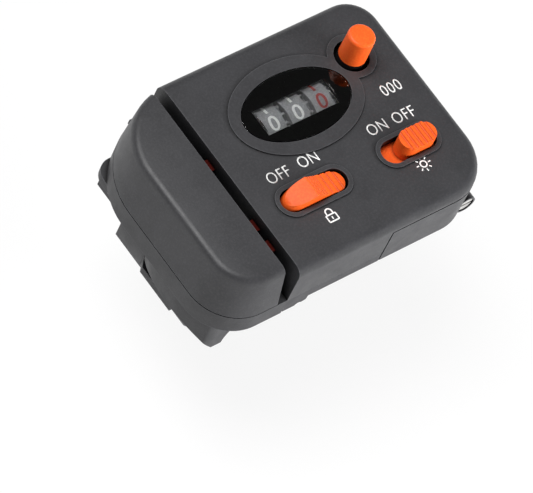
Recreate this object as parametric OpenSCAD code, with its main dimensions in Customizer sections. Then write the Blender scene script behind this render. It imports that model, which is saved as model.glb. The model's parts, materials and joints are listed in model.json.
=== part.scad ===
// Fishing line counter that clips on a rod: the line runs through a slot over a measuring wheel,
// which turns three digit wheels behind an oval window. Millimetres, +Z up, the line along Y.
// The origin is on the rod's axis, at the middle of the housing's length, under the line slot.

/* [Housing] */
// Length of the housing along the line
body_len = 54; // [52:0.2:60]
// Width of the counter block, right of the line slot
right_w = 57; // [54:0.2:62]
// Width of the side block at the seam
left_w = 16.2; // [15:0.2:20]
// How far the side block's outer wall leans in between the seam and the top
left_lean = 2.6; // [1:0.2:4]
// How far the side block's near end leans in between the seam and the top
near_lean = 1.8; // [0.4:0.2:3]
// Width of the line slot
slot_w = 2.8; // [2.6:0.1:4]
// Height of the covers above the seam
cover_h = 11.5; // [11:0.1:14]
// Depth of the base below the seam
base_h = 5.2; // [5:0.1:7]
// Height of the straight band round the base, below the seam
band_h = 3; // [1:0.1:4]
// How far the counter block's underside is drawn in below that band
belly_in = 3; // [1:0.1:3.2]
// Thickness of the shells' side walls
wall = 1.8; // [1.4:0.1:2.2]
// Thickness of the covers' roof
roof_t = 1.8; // [1.6:0.1:2]
// Thickness of the base's floor
floor_t = 1.5; // [1.2:0.1:1.8]
// Plan radius of the counter block's far corner
corner_far = 7.5; // [4:0.5:9]
// Plan radius of the counter block's near corner
corner_near = 12; // [10:0.5:13]
// Plan radius of the side block's near corner
side_near = 11.5; // [9:0.5:13]
// Plan radius of the side block's far corner
side_far = 20; // [18:0.5:24]
// Rounding of the counter block's top edges
edge_r = 2.5; // [1:0.1:2.8]
// Rounding of the crease along the side block's top
crease_r = 1.8; // [0.5:0.1:2.2]
// Height of the low raised rims round the window, button and switches
rim_h = 0.4; // [0.2:0.05:0.6]

/* [Window] */
// Distance of the window's middle from the slot's right edge
window_x = 24.9; // [24.5:0.1:26]
// Distance of the window's middle from the far end
window_y = 18.4; // [18:0.1:19]
// Length of the oval rim
rim_l = 34.7; // [33:0.1:36]
// Width of the oval rim
rim_w = 23.8; // [20:0.1:25]
// Length of the oval lens
lens_l = 29; // [28:0.1:31]
// Width of the oval lens
lens_w = 17; // [14:0.1:18]
// Length of the clear view in the lens
view_l = 23.4; // [22:0.1:24]
// Width of the clear view in the lens
view_w = 6.2; // [5:0.1:7]

/* [Controls] */
// Distance of both switches from the near end
switch_y = 15.7; // [15:0.1:16.5]
// Width of both switch slots
switch_w = 6; // [5.4:0.1:6.6]
// Distance of the line lock's middle from the slot's right edge
lock_x = 15; // [14.6:0.1:15.6]
// Length of the line lock's slot
lock_l = 18; // [17:0.1:19]
// Height of the line lock's ridge above the roof
lock_rise = 3.2; // [2:0.1:4]
// Swing of the line lock between ON and OFF, in degrees
lock_swing = 22; // [20:1:24]
// Distance of the light switch's middle from the slot's right edge
light_x = 42; // [41:0.1:42.4]
// Length of the light switch's slot
light_l = 14.8; // [14:0.1:16]
// Length of the light switch's knob
light_knob_l = 9.6; // [8:0.1:10.4]
// Height of the light switch's knob above the roof
light_rise = 3; // [2:0.1:4]
// Distance of the reset button from the slot's right edge
reset_x = 44.3; // [43.8:0.1:44.8]
// Distance of the reset button from the far end
reset_y = 13.6; // [13.2:0.1:14]
// Diameter of the reset button
reset_d = 7; // [6:0.1:7.4]
// Height of the reset button above the roof
reset_rise = 8.7; // [6:0.1:10]

/* [Counter] */
// Module of the gear train between the measuring wheel and the digits
train_m = 0.34; // [0.32:0.01:0.34]
// Teeth of the train's pinions
pinion_n = 10; // [9:1:11]
// Teeth of the train's gears
gear_n = 36; // [34:1:36]
// Length of line for one turn of the last digit wheel
line_per_turn = 304.8; // [280:0.1:310]
// Radius of the digit wheels
digit_r = 6.8; // [6.6:0.1:6.9]
// Width of a digit wheel's rim
digit_w = 5.2; // [5:0.1:5.4]
// Distance from one digit wheel to the next
digit_pitch = 6.8; // [6.6:0.1:7]
// Module of the carry gears between the digit wheels
carry_m = 0.6; // [0.56:0.01:0.62]
// Module of the reset rack and pinion
rack_m = 0.32; // [0.3:0.01:0.34]

/* [Clamp] */
// Diameter of the rod
rod_d = 15; // [14:0.1:16]
// Thickness of the rubber pads
pad_t = 1.2; // [1:0.1:1.6]
// Length of the saddle along the rod
clamp_len = 46; // [42:0.5:54]
// Length of the jaw along the rod
jaw_len = 26; // [24:0.5:34]
// Thickness of the saddle above the rod
saddle_t = 2.6; // [2.4:0.1:3]
// Thickness of the jaw
jaw_t = 2.8; // [2.4:0.1:3.2]

/* [Hidden] */
$fn = 48;

// Fits: running clearance of a shaft, sliding clearance, and the gap round a piece in its opening
run_c = 0.05;
slide_c = 0.15;
gap_c = 0.3;
eps = 0.01;

// Levels, from the rod's axis up
rod_r = rod_d / 2;
saddle_r = rod_r + pad_t;
base_z = saddle_r + saddle_t;
floor_z = base_z + floor_t;
seam_z = base_z + base_h;
top_z = seam_z + cover_h;
roof_z = top_z - roof_t;

// Edges in plan
slot_x = slot_w / 2;
right_x = slot_x + right_w;
left_x = -slot_x - left_w;
half_len = body_len / 2;

// Places of the window and controls
win_x = slot_x + window_x;
win_y = half_len - window_y;
sw_y = -half_len + switch_y;
lock_cx = slot_x + lock_x;
light_cx = slot_x + light_x;
reset_cx = slot_x + reset_x;
reset_cy = half_len - reset_y;

// Window: the lens sits in a pocket of the roof, the wheels stand just under the pocket's floor
lens_t = 0.9;
mask_t = 0.3;
lens_proud = 0.1;
pocket_z = top_z + rim_h + lens_proud - lens_t - mask_t;
ledge_z = pocket_z - 0.25;
view_margin = 0.4;

// Counter: axes of the digit wheels, the lay shaft and the measuring wheel
train_a = train_m * (pinion_n + gear_n) / 2;
train_ratio = (gear_n / pinion_n) * (gear_n / pinion_n);
run_r = line_per_turn / (2 * PI * train_ratio);
flange_h = 0.55;
line_lift = 2.6;
wheel_w = slot_w - 2 * 0.2;
count_y = win_y;
count_z = pocket_z - 0.5 - digit_r;
lay_z = (floor_z + roof_z) / 2;
lay_y = count_y - sqrt(train_a * train_a - (count_z - lay_z) * (count_z - lay_z));
axle_z = seam_z + line_lift - run_r;
axle_y = lay_y - sqrt(train_a * train_a - (lay_z - axle_z) * (lay_z - axle_z));
axle_r = 1;
lay_r = 1;
shaft_r = 1.2;
bush_r = 2;
bush_l = 2.4;
post_w = 1.2;

// Counter: where things stand along X
hundreds_x = win_x - digit_pitch;
tens_x = win_x;
units_x = win_x + digit_pitch;
wheel_gap = digit_pitch - digit_w;
ring_w = wheel_gap - 0.5;
plate_t = 1.2;
left_plate_x = hundreds_x - digit_w / 2 - 0.8 - plate_t;
drive_w = 1.2;
drive_x = units_x + digit_w / 2;
right_plate_x = drive_x + drive_w + 0.9;
gear_w = 1.8;
gear_x = left_plate_x - 0.8 - gear_w;
tooth_slack = 0.16;

// Carry gears between the digit wheels
ring_n = 20;
carry_n = 8;
carry_a = carry_m * (ring_n + carry_n) / 2;
carry_y = count_y + carry_a;
carry_r = 0.8;
carry_disc_r = carry_a - carry_m * (carry_n / 2 + 1) - 0.3;

// Reset: a rack beside the stem turns the counter shaft half a turn
reset_n = 8;
rack_r = rack_m * reset_n / 2;
reset_travel = PI * rack_r;
flange_t = 0.7;
flange_z = roof_z - 0.1 - flange_t;
flange_r = reset_d / 2 + 1.1;
reset_hole_r = reset_d / 2 + 0.7;
stem_r = 1.6;
stem_in = 5.5;
boss_r = 3;
boss_z = floor_z + reset_travel + 2.2;
stem_z = floor_z + reset_travel + 0.3;
rack_w = 1.6;
rack_x = reset_cx - boss_r - 0.4 - rack_w;
rack_bar = 1.8;
spring_wire = 0.4;
spring_r = 2.3;
spring_turns = 4;

// Line lock: the rocker's lower arm carries the keeper across the slot
lock_w = switch_w - 2 * gap_c;
pivot_z = top_z - 2.8;
lock_r = sqrt(pow(lock_l / 2, 2) + pow(roof_z - pivot_z, 2)) - gap_c;
arm_l = 7.6;
arm_tip_r = 0.8;
arm_w = 1;
arm_tip_x = lock_cx - arm_l * sin(lock_swing / 2);
arm_tip_z = pivot_z - arm_l * cos(lock_swing / 2);
lock_travel = 2 * arm_l * sin(lock_swing / 2);
lock_pin_r = 0.9;
finger_w = 3;
finger_t = 2;
finger_z = roof_z - 1.4 - finger_t;
finger_y = [sw_y + 17.2, sw_y + 0.1, sw_y - 5.7];
finger_tip_x = -slot_x + gap_c;
rail_x = slot_x + wall + gap_c;
rail_w = 1;
web_y0 = sw_y - 1.8;
web_y1 = min(sw_y + 1.4, axle_y - bush_r - post_w - gap_c);
tongue_t = 1.4;
fork_z = arm_tip_z - arm_tip_r - 0.5;
fork_wall = 1.2;

// Light switch
light_rest = 0.9;
light_knob_x = light_cx + light_l / 2 - light_rest - light_knob_l;
light_travel = light_l - light_knob_l - light_rest - gap_c;
light_plate_t = 1.2;
light_plate_z = roof_z - 0.2 - light_plate_t;
peg_r = 0.8;
peg_x = light_knob_x + light_knob_l / 2;

// Battery, board and door
cell_near = 2.5;
holder_gap = 1.6;
cell_gap = 0.3;
holder_wall = 1;
frame_y0 = lay_y - 2.4;
cell_r = (frame_y0 - holder_gap - holder_wall - cell_gap + half_len - cell_near) / 2;
cell_t = 3.2;
cell_x = slot_x + 39.6;
holder_lift = 0.7;
cell_z = floor_z + holder_lift + 1.4;
cell_y = -half_len + cell_near + cell_r;
holder_top = cell_z + cell_t + 1.9;
board_t = 1.2;
switch_z = holder_top + board_t;
switch_top = light_plate_z - 0.7;
door_x = slot_x + 26.9;
door_z0 = seam_z - band_h;
door_z1 = top_z - edge_r - 0.5;
door_c = 0.12;
lug_r = 2.6;
screw_x = right_x - 4.4;
screw_z = door_z0 + 2.5;
screw_seat_y = -half_len + 2.9;
screw_cap_t = 1.1;
lamp_r = 1.5;
lamp_x = win_x + 8.2;
lamp_z = holder_top + board_t + lamp_r + 0.2;
lamp_y = lay_y - 1.4;

// Screws that hold the covers: [x, y]
cover_screws = [
  [slot_x + 5.8, half_len - 5.3],
  [right_x - 5.8, half_len - 6.4],
  [slot_x + 6, -half_len + 4.9],
  [slot_x + 22.4, -half_len + 5.1]];
side_screws = [[left_x + 10.2, half_len - 9.3], [left_x + 10.2, -half_len + 9.3]];
screw_r = 1.1;
screw_head_r = 2;
screw_head_t = 1.1;
screw_boss_r = 2.6;
screw_l = 7;

// Rod clamp: a hinge under the counter block, both halves cut to the side block's plan
hinge_x = saddle_r + 4.4;
hinge_r = 1.1;
knuckle_r = 2.6;
split_c = 0.5;
pad_arc = 150;
flange_w = 2;
knuckle_in = 4.2;
knuckle_mid = 9.1;
knuckle_out = 14;
coil_wire = 0.6;
coil_r = 1.85;
coil_turns = 6;
coil_pitch = 1.12;
coil_leg = 5;
foot_x = saddle_r + 3.5;
foot_screws = [for (x = [-1, 1], y = [-1, 1]) [x * foot_x, y * (knuckle_out + 2.5)]];
cheek_t = 1.2;
lip_w = 1.2;
lip_l = 20;
side_drop = 4.4;
lobe_r = 19.6;
lobe_x = 2.1;
lobe_y = 11.7;

// Runs a profile drawn in Y and Z along X
module along_x(x0, x1) {
  translate([x0, 0, 0])
    rotate([90, 0, 90])
      linear_extrude(x1 - x0)
        children();
}

// Runs a profile drawn in X and Z along Y
module along_y(y0, y1) {
  translate([0, y1, 0])
    rotate([90, 0, 0])
      linear_extrude(y1 - y0)
        children();
}

// Runs a plan from one height to another
module rise(z0, z1) {
  translate([0, 0, z0])
    linear_extrude(z1 - z0)
      children();
}

// Round bar along X
module bar_x(x0, x1, y, z, r) {
  along_x(x0, x1)
    translate([y, z])
      circle(r);
}

// Round bar along Y
module bar_y(y0, y1, x, z, r) {
  along_y(y0, y1)
    translate([x, z])
      circle(r);
}

// Waste of one plan corner of radius r, in the corner at the origin that points to +X and +Y
module corner_waste(r) {
  difference() {
    translate([-r, -r])
      square(r + 1);
    translate([-r, -r])
      circle(r);
  }
}

// Plan of the counter block, drawn in by d, and by slot_d on the slot's side
module right_plan(d, slot_d = undef) {
  x0 = slot_x + (slot_d == undef ? d : slot_d);
  x1 = right_x - d;
  y1 = half_len - d;
  difference() {
    translate([x0, -y1])
      square([x1 - x0, 2 * y1]);
    translate([x1, y1])
      corner_waste(max(corner_far - d, 0.5));
    translate([x1, -y1])
      mirror([0, 1])
        corner_waste(max(corner_near - d, 0.5));
  }
}

// Plan of the side block, drawn in by d, and by slot_d on the slot's side
module left_plan(d, slot_d = 0) {
  x0 = left_x + d;
  x1 = -slot_x - slot_d;
  y1 = half_len - d;
  difference() {
    translate([x0, -y1])
      square([x1 - x0, 2 * y1]);
    translate([x0, y1])
      mirror([1, 0])
        corner_waste(side_far - d);
    translate([x0, -y1])
      rotate(180)
        corner_waste(side_near - d);
  }
}

// Slot with round ends along X
module stadium(l, w) {
  square([l - w, w], center = true);
  for (s = [-1, 1])
    translate([s * (l - w) / 2, 0])
      circle(w / 2);
}

// Oval of length l and width w
module oval(l, w, n = 72) {
  polygon([for (i = [0 : n - 1]) [l / 2 * cos(360 * i / n), w / 2 * sin(360 * i / n)]]);
}

// Spur gear outline: straight-flanked teeth, thinned by tooth_slack for running clearance
function tooth_half(n, f) = 90 / n * (1 - tooth_slack) * f;
module gear(n, m, turn = 0) {
  tip = m * (n / 2 + 0.9);
  root = m * (n / 2 - 1.15);
  tooth = [[root, 1.7], [m * n / 2, 1], [tip, 0.5], [tip, -0.5], [m * n / 2, -1], [root, -1.7]];
  polygon([for (i = [0 : n - 1], p = tooth)
    let (a = turn + 360 * i / n - tooth_half(n, p[1]))
      [p[0] * cos(a), p[0] * sin(a)]]);
}

// Tube of radius r swept along the points in path
function unit(v) = v / norm(v);
module sweep(path, r, sides = 6) {
  n = len(path);
  dirs = [for (i = [0 : n - 1]) unit(path[min(i + 1, n - 1)] - path[max(i - 1, 0)])];
  side = [for (d = dirs) unit(cross(d, abs(d[2]) < 0.9 ? [0, 0, 1] : [1, 0, 0]))];
  points = [for (i = [0 : n - 1], k = [0 : sides - 1])
    let (u = side[i], w = cross(dirs[i], side[i]), a = 360 * k / sides)
      path[i] + r * (u * cos(a) + w * sin(a))];
  walls = [for (i = [0 : n - 2], k = [0 : sides - 1], t = [0, 1])
    let (a = i * sides + k, b = i * sides + (k + 1) % sides)
      t == 0 ? [a, b, b + sides] : [a, b + sides, a + sides]];
  first = [for (k = [1 : sides - 2]) [0, k + 1, k]];
  last = [for (k = [1 : sides - 2]) [0, k, k + 1] + (n - 1) * sides * [1, 1, 1]];
  polyhedron([each points], concat(walls, first, last));
}

// Outer form of the counter block above the seam: round right-hand corners and top edges
module right_form() {
  hull() {
    for (c = [[half_len, corner_far, 1], [half_len, corner_near, -1]])
      translate([right_x - c[1], c[2] * (c[0] - c[1]), seam_z]) {
        cylinder(r = c[1], h = cover_h - edge_r, $fn = 40);
        translate([0, 0, cover_h - edge_r])
          rotate_extrude($fn = 40)
            translate([c[1] - edge_r, 0])
              intersection() {
                circle(edge_r, $fn = 32);
                square(edge_r);
              }
      }
    for (s = [-1, 1]) {
      translate([slot_x, s * half_len - (s > 0 ? eps : 0), seam_z])
        cube([eps, eps, cover_h - edge_r]);
      translate([slot_x, s * (half_len - edge_r), top_z - edge_r])
        rotate([0, 90, 0])
          cylinder(r = edge_r, h = eps, $fn = 32);
    }
  }
}

// One level of the side block's form as points: lean is 0 at the seam and 1 at the crease
function left_ring(z, lean, d, slot_d = 0) =
  let (
    x0 = left_x + left_lean * lean + d,
    x1 = -slot_x - slot_d,
    far_y = half_len - 0.3 * near_lean * lean - d,
    near_y = -half_len + near_lean * lean + d,
    far_r = side_far - left_lean * lean - d,
    near_r = min(side_near - near_lean * lean - d, x1 - x0 - 0.4),
    first = asin(max((x0 + far_r - x1) / far_r, 0)),
    n = 12)
  concat(
    [for (i = [0 : n])
      let (a = first + (90 - first) * i / n)
        [x0 + far_r - far_r * sin(a), far_y - far_r + far_r * cos(a), z]],
    [for (i = [0 : n])
      [x0 + near_r - near_r * cos(90 * i / n), near_y + near_r - near_r * sin(90 * i / n), z]],
    [[x1, near_y, z]]);

// Solid between levels of the same number of points, the lowest first
module loft(rings) {
  n = len(rings[0]);
  m = len(rings);
  points = [for (ring = rings) each ring];
  walls = [for (i = [0 : m - 2], k = [0 : n - 1], t = [0, 1])
    let (a = i * n + k, b = i * n + (k + 1) % n)
      t == 0 ? [a, a + n, b + n] : [a, b + n, b]];
  low = [for (k = [0 : n - 1]) k];
  high = [for (k = [0 : n - 1]) m * n - 1 - k];
  polyhedron(points, concat(walls, [low, high]));
}

// Outer form of the side block above the seam: a leaning wall and a soft crease round the top
module left_form() {
  soft = [for (a = [0 : 22.5 : 90]) [crease_r * (1 - cos(a)), crease_r * (1 - sin(a))]];
  loft(concat(
    [left_ring(seam_z, 0, 0)],
    [for (p = soft) left_ring(top_z - p[1], 1, p[0])]));
}

// Hollow of the side block
module left_hollow() {
  loft([
    left_ring(seam_z - 1, -1 / cover_h, wall, wall),
    left_ring(roof_z, 1, wall + 0.4, wall)]);
}

// Ring of wall where the door goes, right of x0 and near of the corner's end, grown by c
module door_plan(c) {
  intersection() {
    difference() {
      right_plan(0);
      right_plan(wall);
    }
    translate([door_x - c, -half_len - 1])
      square([right_w, corner_near + 1 + c]);
  }
}

module door_room() {
  rise(door_z0 - door_c, door_z1 + door_c)
    door_plan(door_c);
}

// Lower shell: a tray under both blocks, with the slot's floor, bearing posts and screw holes
module base_shell() {
  color("#3a3a3e")
    difference() {
      union() {
        difference() {
          union() {
            rise(base_z, seam_z)
              left_plan(0, -slot_w);
            rise(seam_z - band_h, seam_z)
              right_plan(0);
            base_belly(0, base_z);
          }
          rise(floor_z, seam_z + 1)
            left_plan(wall, slot_w - wall);
          rise(seam_z - band_h - eps, seam_z + 1)
            right_plan(wall);
          base_belly(wall, floor_z);
        }
        translate([-slot_x - wall, -half_len, seam_z - floor_t])
          cube([slot_w + 2 * wall, body_len, floor_t]);
        translate([-slot_x - wall, axle_y - run_r - 2.6, floor_z - eps])
          cube([slot_w + 2 * wall, 2 * run_r + 5.2, base_h - floor_t]);
        for (x = bush_places())
          translate([x, axle_y - bush_r - post_w, floor_z - eps])
            cube([bush_l, 2 * (bush_r + post_w), axle_z + bush_r + post_w - floor_z]);
        translate([reset_cx, reset_cy, floor_z - eps])
          cylinder(r = boss_r, h = boss_z - floor_z);
        for (p = concat(cover_screws, side_screws))
          translate([p[0], p[1], floor_z - eps])
            cylinder(r = screw_boss_r, h = seam_z - floor_z - 0.5);
      }
      wheel_well();
      for (x = bush_places())
        bar_x(x - eps, x + bush_l + eps, axle_y, axle_z, bush_r);
      bar_x(-slot_x - wall - 1, slot_x + wall + 1, axle_y, axle_z, axle_r + gap_c);
      translate([reset_cx, reset_cy, floor_z])
        cylinder(r = stem_r + run_c, h = boss_z);
      for (p = concat(cover_screws, side_screws))
        translate([p[0], p[1], base_z - 1]) {
          cylinder(r = screw_head_r + slide_c, h = 1 + screw_head_t + 0.2);
          cylinder(r = screw_r + slide_c, h = base_h + 2);
        }
      for (p = foot_screws)
        translate([p[0], p[1], base_z - 1])
          cylinder(r = screw_r, h = 1 + floor_t + 1);
      door_room();
    }
}

// Underside of the counter block, drawn in below the band; the same form inset makes the hollow
module base_belly(d, z0) {
  drawn = belly_in * (z0 - base_z) / (base_h - band_h);
  hull() {
    rise(seam_z - band_h - eps, seam_z - band_h)
      right_plan(d, d - 1);
    rise(z0, z0 + eps)
      right_plan(d + belly_in - drawn, d - 1);
  }
}

// Room for the measuring wheel through the slot's floor and the base's floor
module wheel_well() {
  r = run_r + flange_h + 0.4;
  bar_x(-slot_x, slot_x, axle_y, axle_z, r);
}

// Bushes stand either side of the slot
function bush_places() = [-slot_x - wall - 0.6 - bush_l, slot_x + wall + 0.6];

// Counter block's cover: rounded roof with rims, window pocket, openings and a wall along the slot
module counter_cover() {
  color("#3f3f43")
    difference() {
      union() {
        difference() {
          right_form();
          rise(seam_z - 1, roof_z)
            right_plan(wall);
        }
        rise(top_z - eps, top_z + rim_h) {
          translate([win_x, win_y])
            oval(rim_l, rim_w);
          translate([reset_cx, reset_cy])
            circle(reset_hole_r + 1.6);
          translate([lock_cx, sw_y])
            stadium(lock_l + 2.2, switch_w + 2.2);
          translate([light_cx, sw_y])
            stadium(light_l + 2.2, switch_w + 2.2);
        }
        for (p = cover_screws)
          translate([p[0], p[1], seam_z])
            cylinder(r = screw_boss_r, h = roof_z - seam_z + eps);
        rocker_cheeks();
      }
      rise(pocket_z, top_z + 2)
        translate([win_x, win_y])
          oval(lens_l, lens_w);
      rise(roof_z - 1, top_z + 2)
        translate([win_x, win_y])
          square([view_l + 2 * view_margin, view_w + 2 * view_margin], center = true);
      rise(roof_z - 1, top_z + 2)
        translate([reset_cx, reset_cy])
          circle(reset_hole_r);
      rise(roof_z - 1, top_z + 2)
        translate([lock_cx, sw_y])
          stadium(lock_l, switch_w);
      rise(roof_z - 1, top_z + 2)
        translate([light_cx, sw_y])
          stadium(light_l, switch_w);
      for (y = finger_y)
        translate([slot_x - 1, y - finger_w / 2 - slide_c, finger_z - slide_c])
          cube([wall + 2, finger_w + 2 * slide_c, finger_t + 2 * slide_c]);
      for (p = cover_screws)
        translate([p[0], p[1], seam_z - 1])
          cylinder(r = screw_r, h = screw_l - 1);
      bar_y(sw_y - switch_w / 2 - 3, sw_y + switch_w / 2 + 3, lock_cx, pivot_z, lock_pin_r);
      door_room();
    }
}

// Cheeks under the roof that carry the rocker's pin
module rocker_cheeks() {
  for (s = [-1, 1])
    translate([lock_cx - 2.4, sw_y + s * (switch_w / 2 + 0.9) - 0.9, pivot_z - 2.2])
      cube([4.8, 1.8, roof_z - pivot_z + 2.2 + eps]);
}

// Side block's cover
module side_cover() {
  color("#3f3f43")
    difference() {
      union() {
        difference() {
          left_form();
          left_hollow();
        }
        for (p = side_screws)
          translate([p[0], p[1], seam_z])
            cylinder(r = screw_boss_r, h = cover_h - roof_t + eps);
      }
      for (p = side_screws)
        translate([p[0], p[1], seam_z - 1])
          cylinder(r = screw_r, h = screw_l - 1);
    }
}

// Battery door: the near wall's right end and the corner, with a tongue behind the cover's wall
module battery_door() {
  color("#4a4a4e")
    difference() {
      union() {
        rise(door_z0, door_z1)
          door_plan(0);
        translate([door_x + 0.3, -half_len + wall - eps, door_z0 + 3.6])
          cube([0.9, 1.6, door_z1 - door_z0 - 5]);
        intersection() {
          bar_y(screw_seat_y - screw_cap_t - 0.2, screw_seat_y + 0.9, screw_x, screw_z, lug_r);
          rise(door_z0, door_z1)
            square(4 * body_len, center = true);
        }
      }
      bar_y(-half_len - 1, screw_seat_y + 4, screw_x, screw_z, screw_r);
      bar_y(-half_len - 1, screw_seat_y, screw_x, screw_z, screw_head_r + slide_c);
    }
}

// Captive screw of the battery door, with a slotted head
module door_screw() {
  color("#c9c6bd")
    difference() {
      union() {
        bar_y(screw_seat_y - screw_cap_t, screw_seat_y, screw_x, screw_z, screw_head_r);
        bar_y(screw_seat_y - eps, screw_seat_y + 6, screw_x, screw_z, screw_r - 0.15);
      }
      translate([screw_x - 3, screw_seat_y - screw_cap_t - 1, screw_z - 0.3])
        cube([6, 1.5, 0.6]);
    }
}

// Screws from below into the covers' bosses
module housing_screws() {
  color("#8a8a8c")
    for (p = concat(cover_screws, side_screws))
      translate([p[0], p[1], base_z + 0.2]) {
        cylinder(r = screw_head_r, h = screw_head_t);
        cylinder(r = screw_r - 0.02, h = base_h + screw_l - 2.4);
      }
}

// Clear lens with a raised magnifying bar over the digits
module window_lens() {
  bar_rise = 0.5;
  bar_r = (view_w * view_w / 4 + bar_rise * bar_rise) / (2 * bar_rise);
  color("#d8e2e8", 0.4)
    union() {
      rise(pocket_z + mask_t, pocket_z + mask_t + lens_t)
        translate([win_x, win_y])
          oval(lens_l - 2 * slide_c, lens_w - 2 * slide_c);
      intersection() {
        bar_x(win_x - view_l / 2, win_x + view_l / 2, win_y, top_z + rim_h + bar_rise - bar_r, bar_r);
        translate([win_x - view_l / 2, win_y - view_w / 2, pocket_z + mask_t + lens_t - eps])
          cube([view_l, view_w, 3]);
      }
    }
}

// Black mask under the lens, open over the digits
module window_mask() {
  color("#101014")
    rise(pocket_z, pocket_z + mask_t)
      translate([win_x, win_y])
        difference() {
          oval(lens_l - 2 * slide_c, lens_w - 2 * slide_c);
          square([view_l, view_w], center = true);
        }
}

// Orange push button with a soft top edge, over the stem
module reset_button() {
  r = reset_d / 2;
  soft = 0.8;
  color("#ff5a1f")
    translate([reset_cx, reset_cy, 0])
      rotate_extrude()
        difference() {
          union() {
            translate([0, flange_z + flange_t])
              square([r, top_z + reset_rise - soft - flange_z - flange_t]);
            translate([0, top_z + reset_rise - soft - eps])
              square([r - soft, soft + eps]);
            translate([r - soft, top_z + reset_rise - soft])
              circle(soft);
          }
          translate([-10, 0])
            square([10, 60]);
          translate([0, flange_z])
            square([stem_r + run_c, flange_t + stem_in + 0.3]);
        }
}

// Stem with its flange under the roof and the rack that hangs beside it
module reset_stem() {
  pitch = PI * rack_m;
  rack_y = count_y + rack_r;
  teeth = floor((reset_travel + 4 * rack_m) / pitch) + 1;
  color("#d9d6cc")
    union() {
      translate([reset_cx, reset_cy, stem_z])
        cylinder(r = stem_r, h = flange_z + flange_t + stem_in - stem_z);
      translate([reset_cx, reset_cy, flange_z])
        cylinder(r = flange_r, h = flange_t);
      translate([rack_x, rack_y + rack_m * 1.15, flange_z])
        cube([reset_cx - rack_x, reset_cy + stem_r - rack_y - rack_m * 1.15, flange_t]);
      along_x(rack_x, rack_x + rack_w)
        union() {
          translate([rack_y + rack_m * 1.15, count_z - 1.6 * pitch])
            square([rack_bar, flange_z + flange_t - count_z + 1.6 * pitch]);
          for (i = [-1 : teeth - 1])
            translate([rack_y, count_z + (i + 0.5) * pitch])
              rack_tooth(pitch);
        }
    }
}

// One tooth of the rack, pointing to -Y, with its root sunk in the bar
module rack_tooth(pitch) {
  half = pitch / 4 * (1 - tooth_slack);
  tip = rack_m * 0.9;
  slope = tan(20);
  polygon([
    [rack_m * 1.2, half + slope * rack_m],
    [-tip, half - slope * tip],
    [-tip, -half + slope * tip],
    [rack_m * 1.2, -half - slope * rack_m]]);
}

// Return spring round the stem, one unbroken wire
spring_z0 = boss_z + spring_wire / 2 + 0.05;
spring_z1 = flange_z - spring_wire / 2 - 0.05;
function spring_point(t) = [
  reset_cx + spring_r * cos(360 * t),
  reset_cy + spring_r * sin(360 * t),
  spring_z0 + (spring_z1 - spring_z0) * t / spring_turns];
module reset_spring() {
  color("silver")
    sweep([for (i = [0 : 8 * spring_turns]) spring_point(i / 8)], spring_wire / 2);
}
echo("reset spring, gap between turns", (spring_z1 - spring_z0) / spring_turns - spring_wire);

// Line-lock rocker: a round back, a ridge, a hollowed thumb rest with ribs and the arm below
module line_lock_rocker() {
  ridge_x = -1.8;
  rib_n = 7;
  color("#ff5a1f")
    difference() {
      union() {
        intersection() {
          along_y(sw_y - lock_w, sw_y + lock_w)
            translate([lock_cx, pivot_z])
              rocker_side(ridge_x);
          translate([lock_cx, sw_y, pivot_z])
            rotate([90, 0, 0])
              rotate_extrude()
                rocker_rim();
        }
        along_y(sw_y - 1.2, sw_y + 1.2)
          translate([lock_cx, pivot_z])
            rotate(-lock_swing / 2)
              translate([-arm_w / 2, -arm_l])
                square([arm_w, arm_l]);
        bar_y(sw_y - 1.2, sw_y + 1.2, arm_tip_x, arm_tip_z, arm_tip_r);
      }
      bar_y(sw_y - lock_w, sw_y + lock_w, lock_cx, pivot_z, lock_pin_r + run_c);
      for (i = [0 : rib_n - 1])
        rocker_groove(ridge_x, i);
    }
}

// Half section of the disc that the rocker is cut from: its rim is round, to clear the slot's round ends
module rocker_rim() {
  half = lock_w / 2;
  translate([0, -half])
    square([lock_r - half, lock_w]);
  intersection() {
    translate([lock_r - half, 0])
      circle(half);
    translate([lock_r - half, -lock_w])
      square(2 * lock_w);
  }
}

// Side view of the rocker about its pin, at rest with the right-hand end down
module rocker_side(ridge_x) {
  surface = top_z - pivot_z;
  back = lock_l / 2 - 0.4;
  front = lock_l / 2;
  polygon([
    [-2.4, -1.8],
    [-back, surface - 1.6],
    for (a = [0 : 9 : 90])
      [-back + (back + ridge_x) * sin(a) * sin(a), surface - 0.4 + (lock_rise + 0.4) * sin(a)],
    for (t = [0.1 : 0.1 : 1])
      [ridge_x + (front - ridge_x) * t, surface + lock_rise * (1 - t) * (1 - t) - 0.3 * t],
    [front, surface - 1.8],
    [2.4, -1.8]]);
}

// One groove across the thumb rest: fine by the ridge, coarse towards the end
module rocker_groove(ridge_x, i) {
  surface = top_z - pivot_z;
  t = i < 4 ? 0.08 + 0.075 * i : 0.46 + 0.17 * (i - 4);
  r = i < 4 ? 0.22 : 0.4;
  x = ridge_x + (lock_l / 2 - ridge_x) * t;
  z = surface + lock_rise * (1 - t) * (1 - t) - 0.3 * t;
  bar_y(sw_y - lock_w, sw_y + lock_w, lock_cx + x, pivot_z + z + r * 0.3, r);
}

module rocker_pin() {
  color("silver")
    bar_y(sw_y - switch_w / 2 - 1.8, sw_y + switch_w / 2 + 1.8, lock_cx, pivot_z, lock_pin_r);
}

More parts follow.
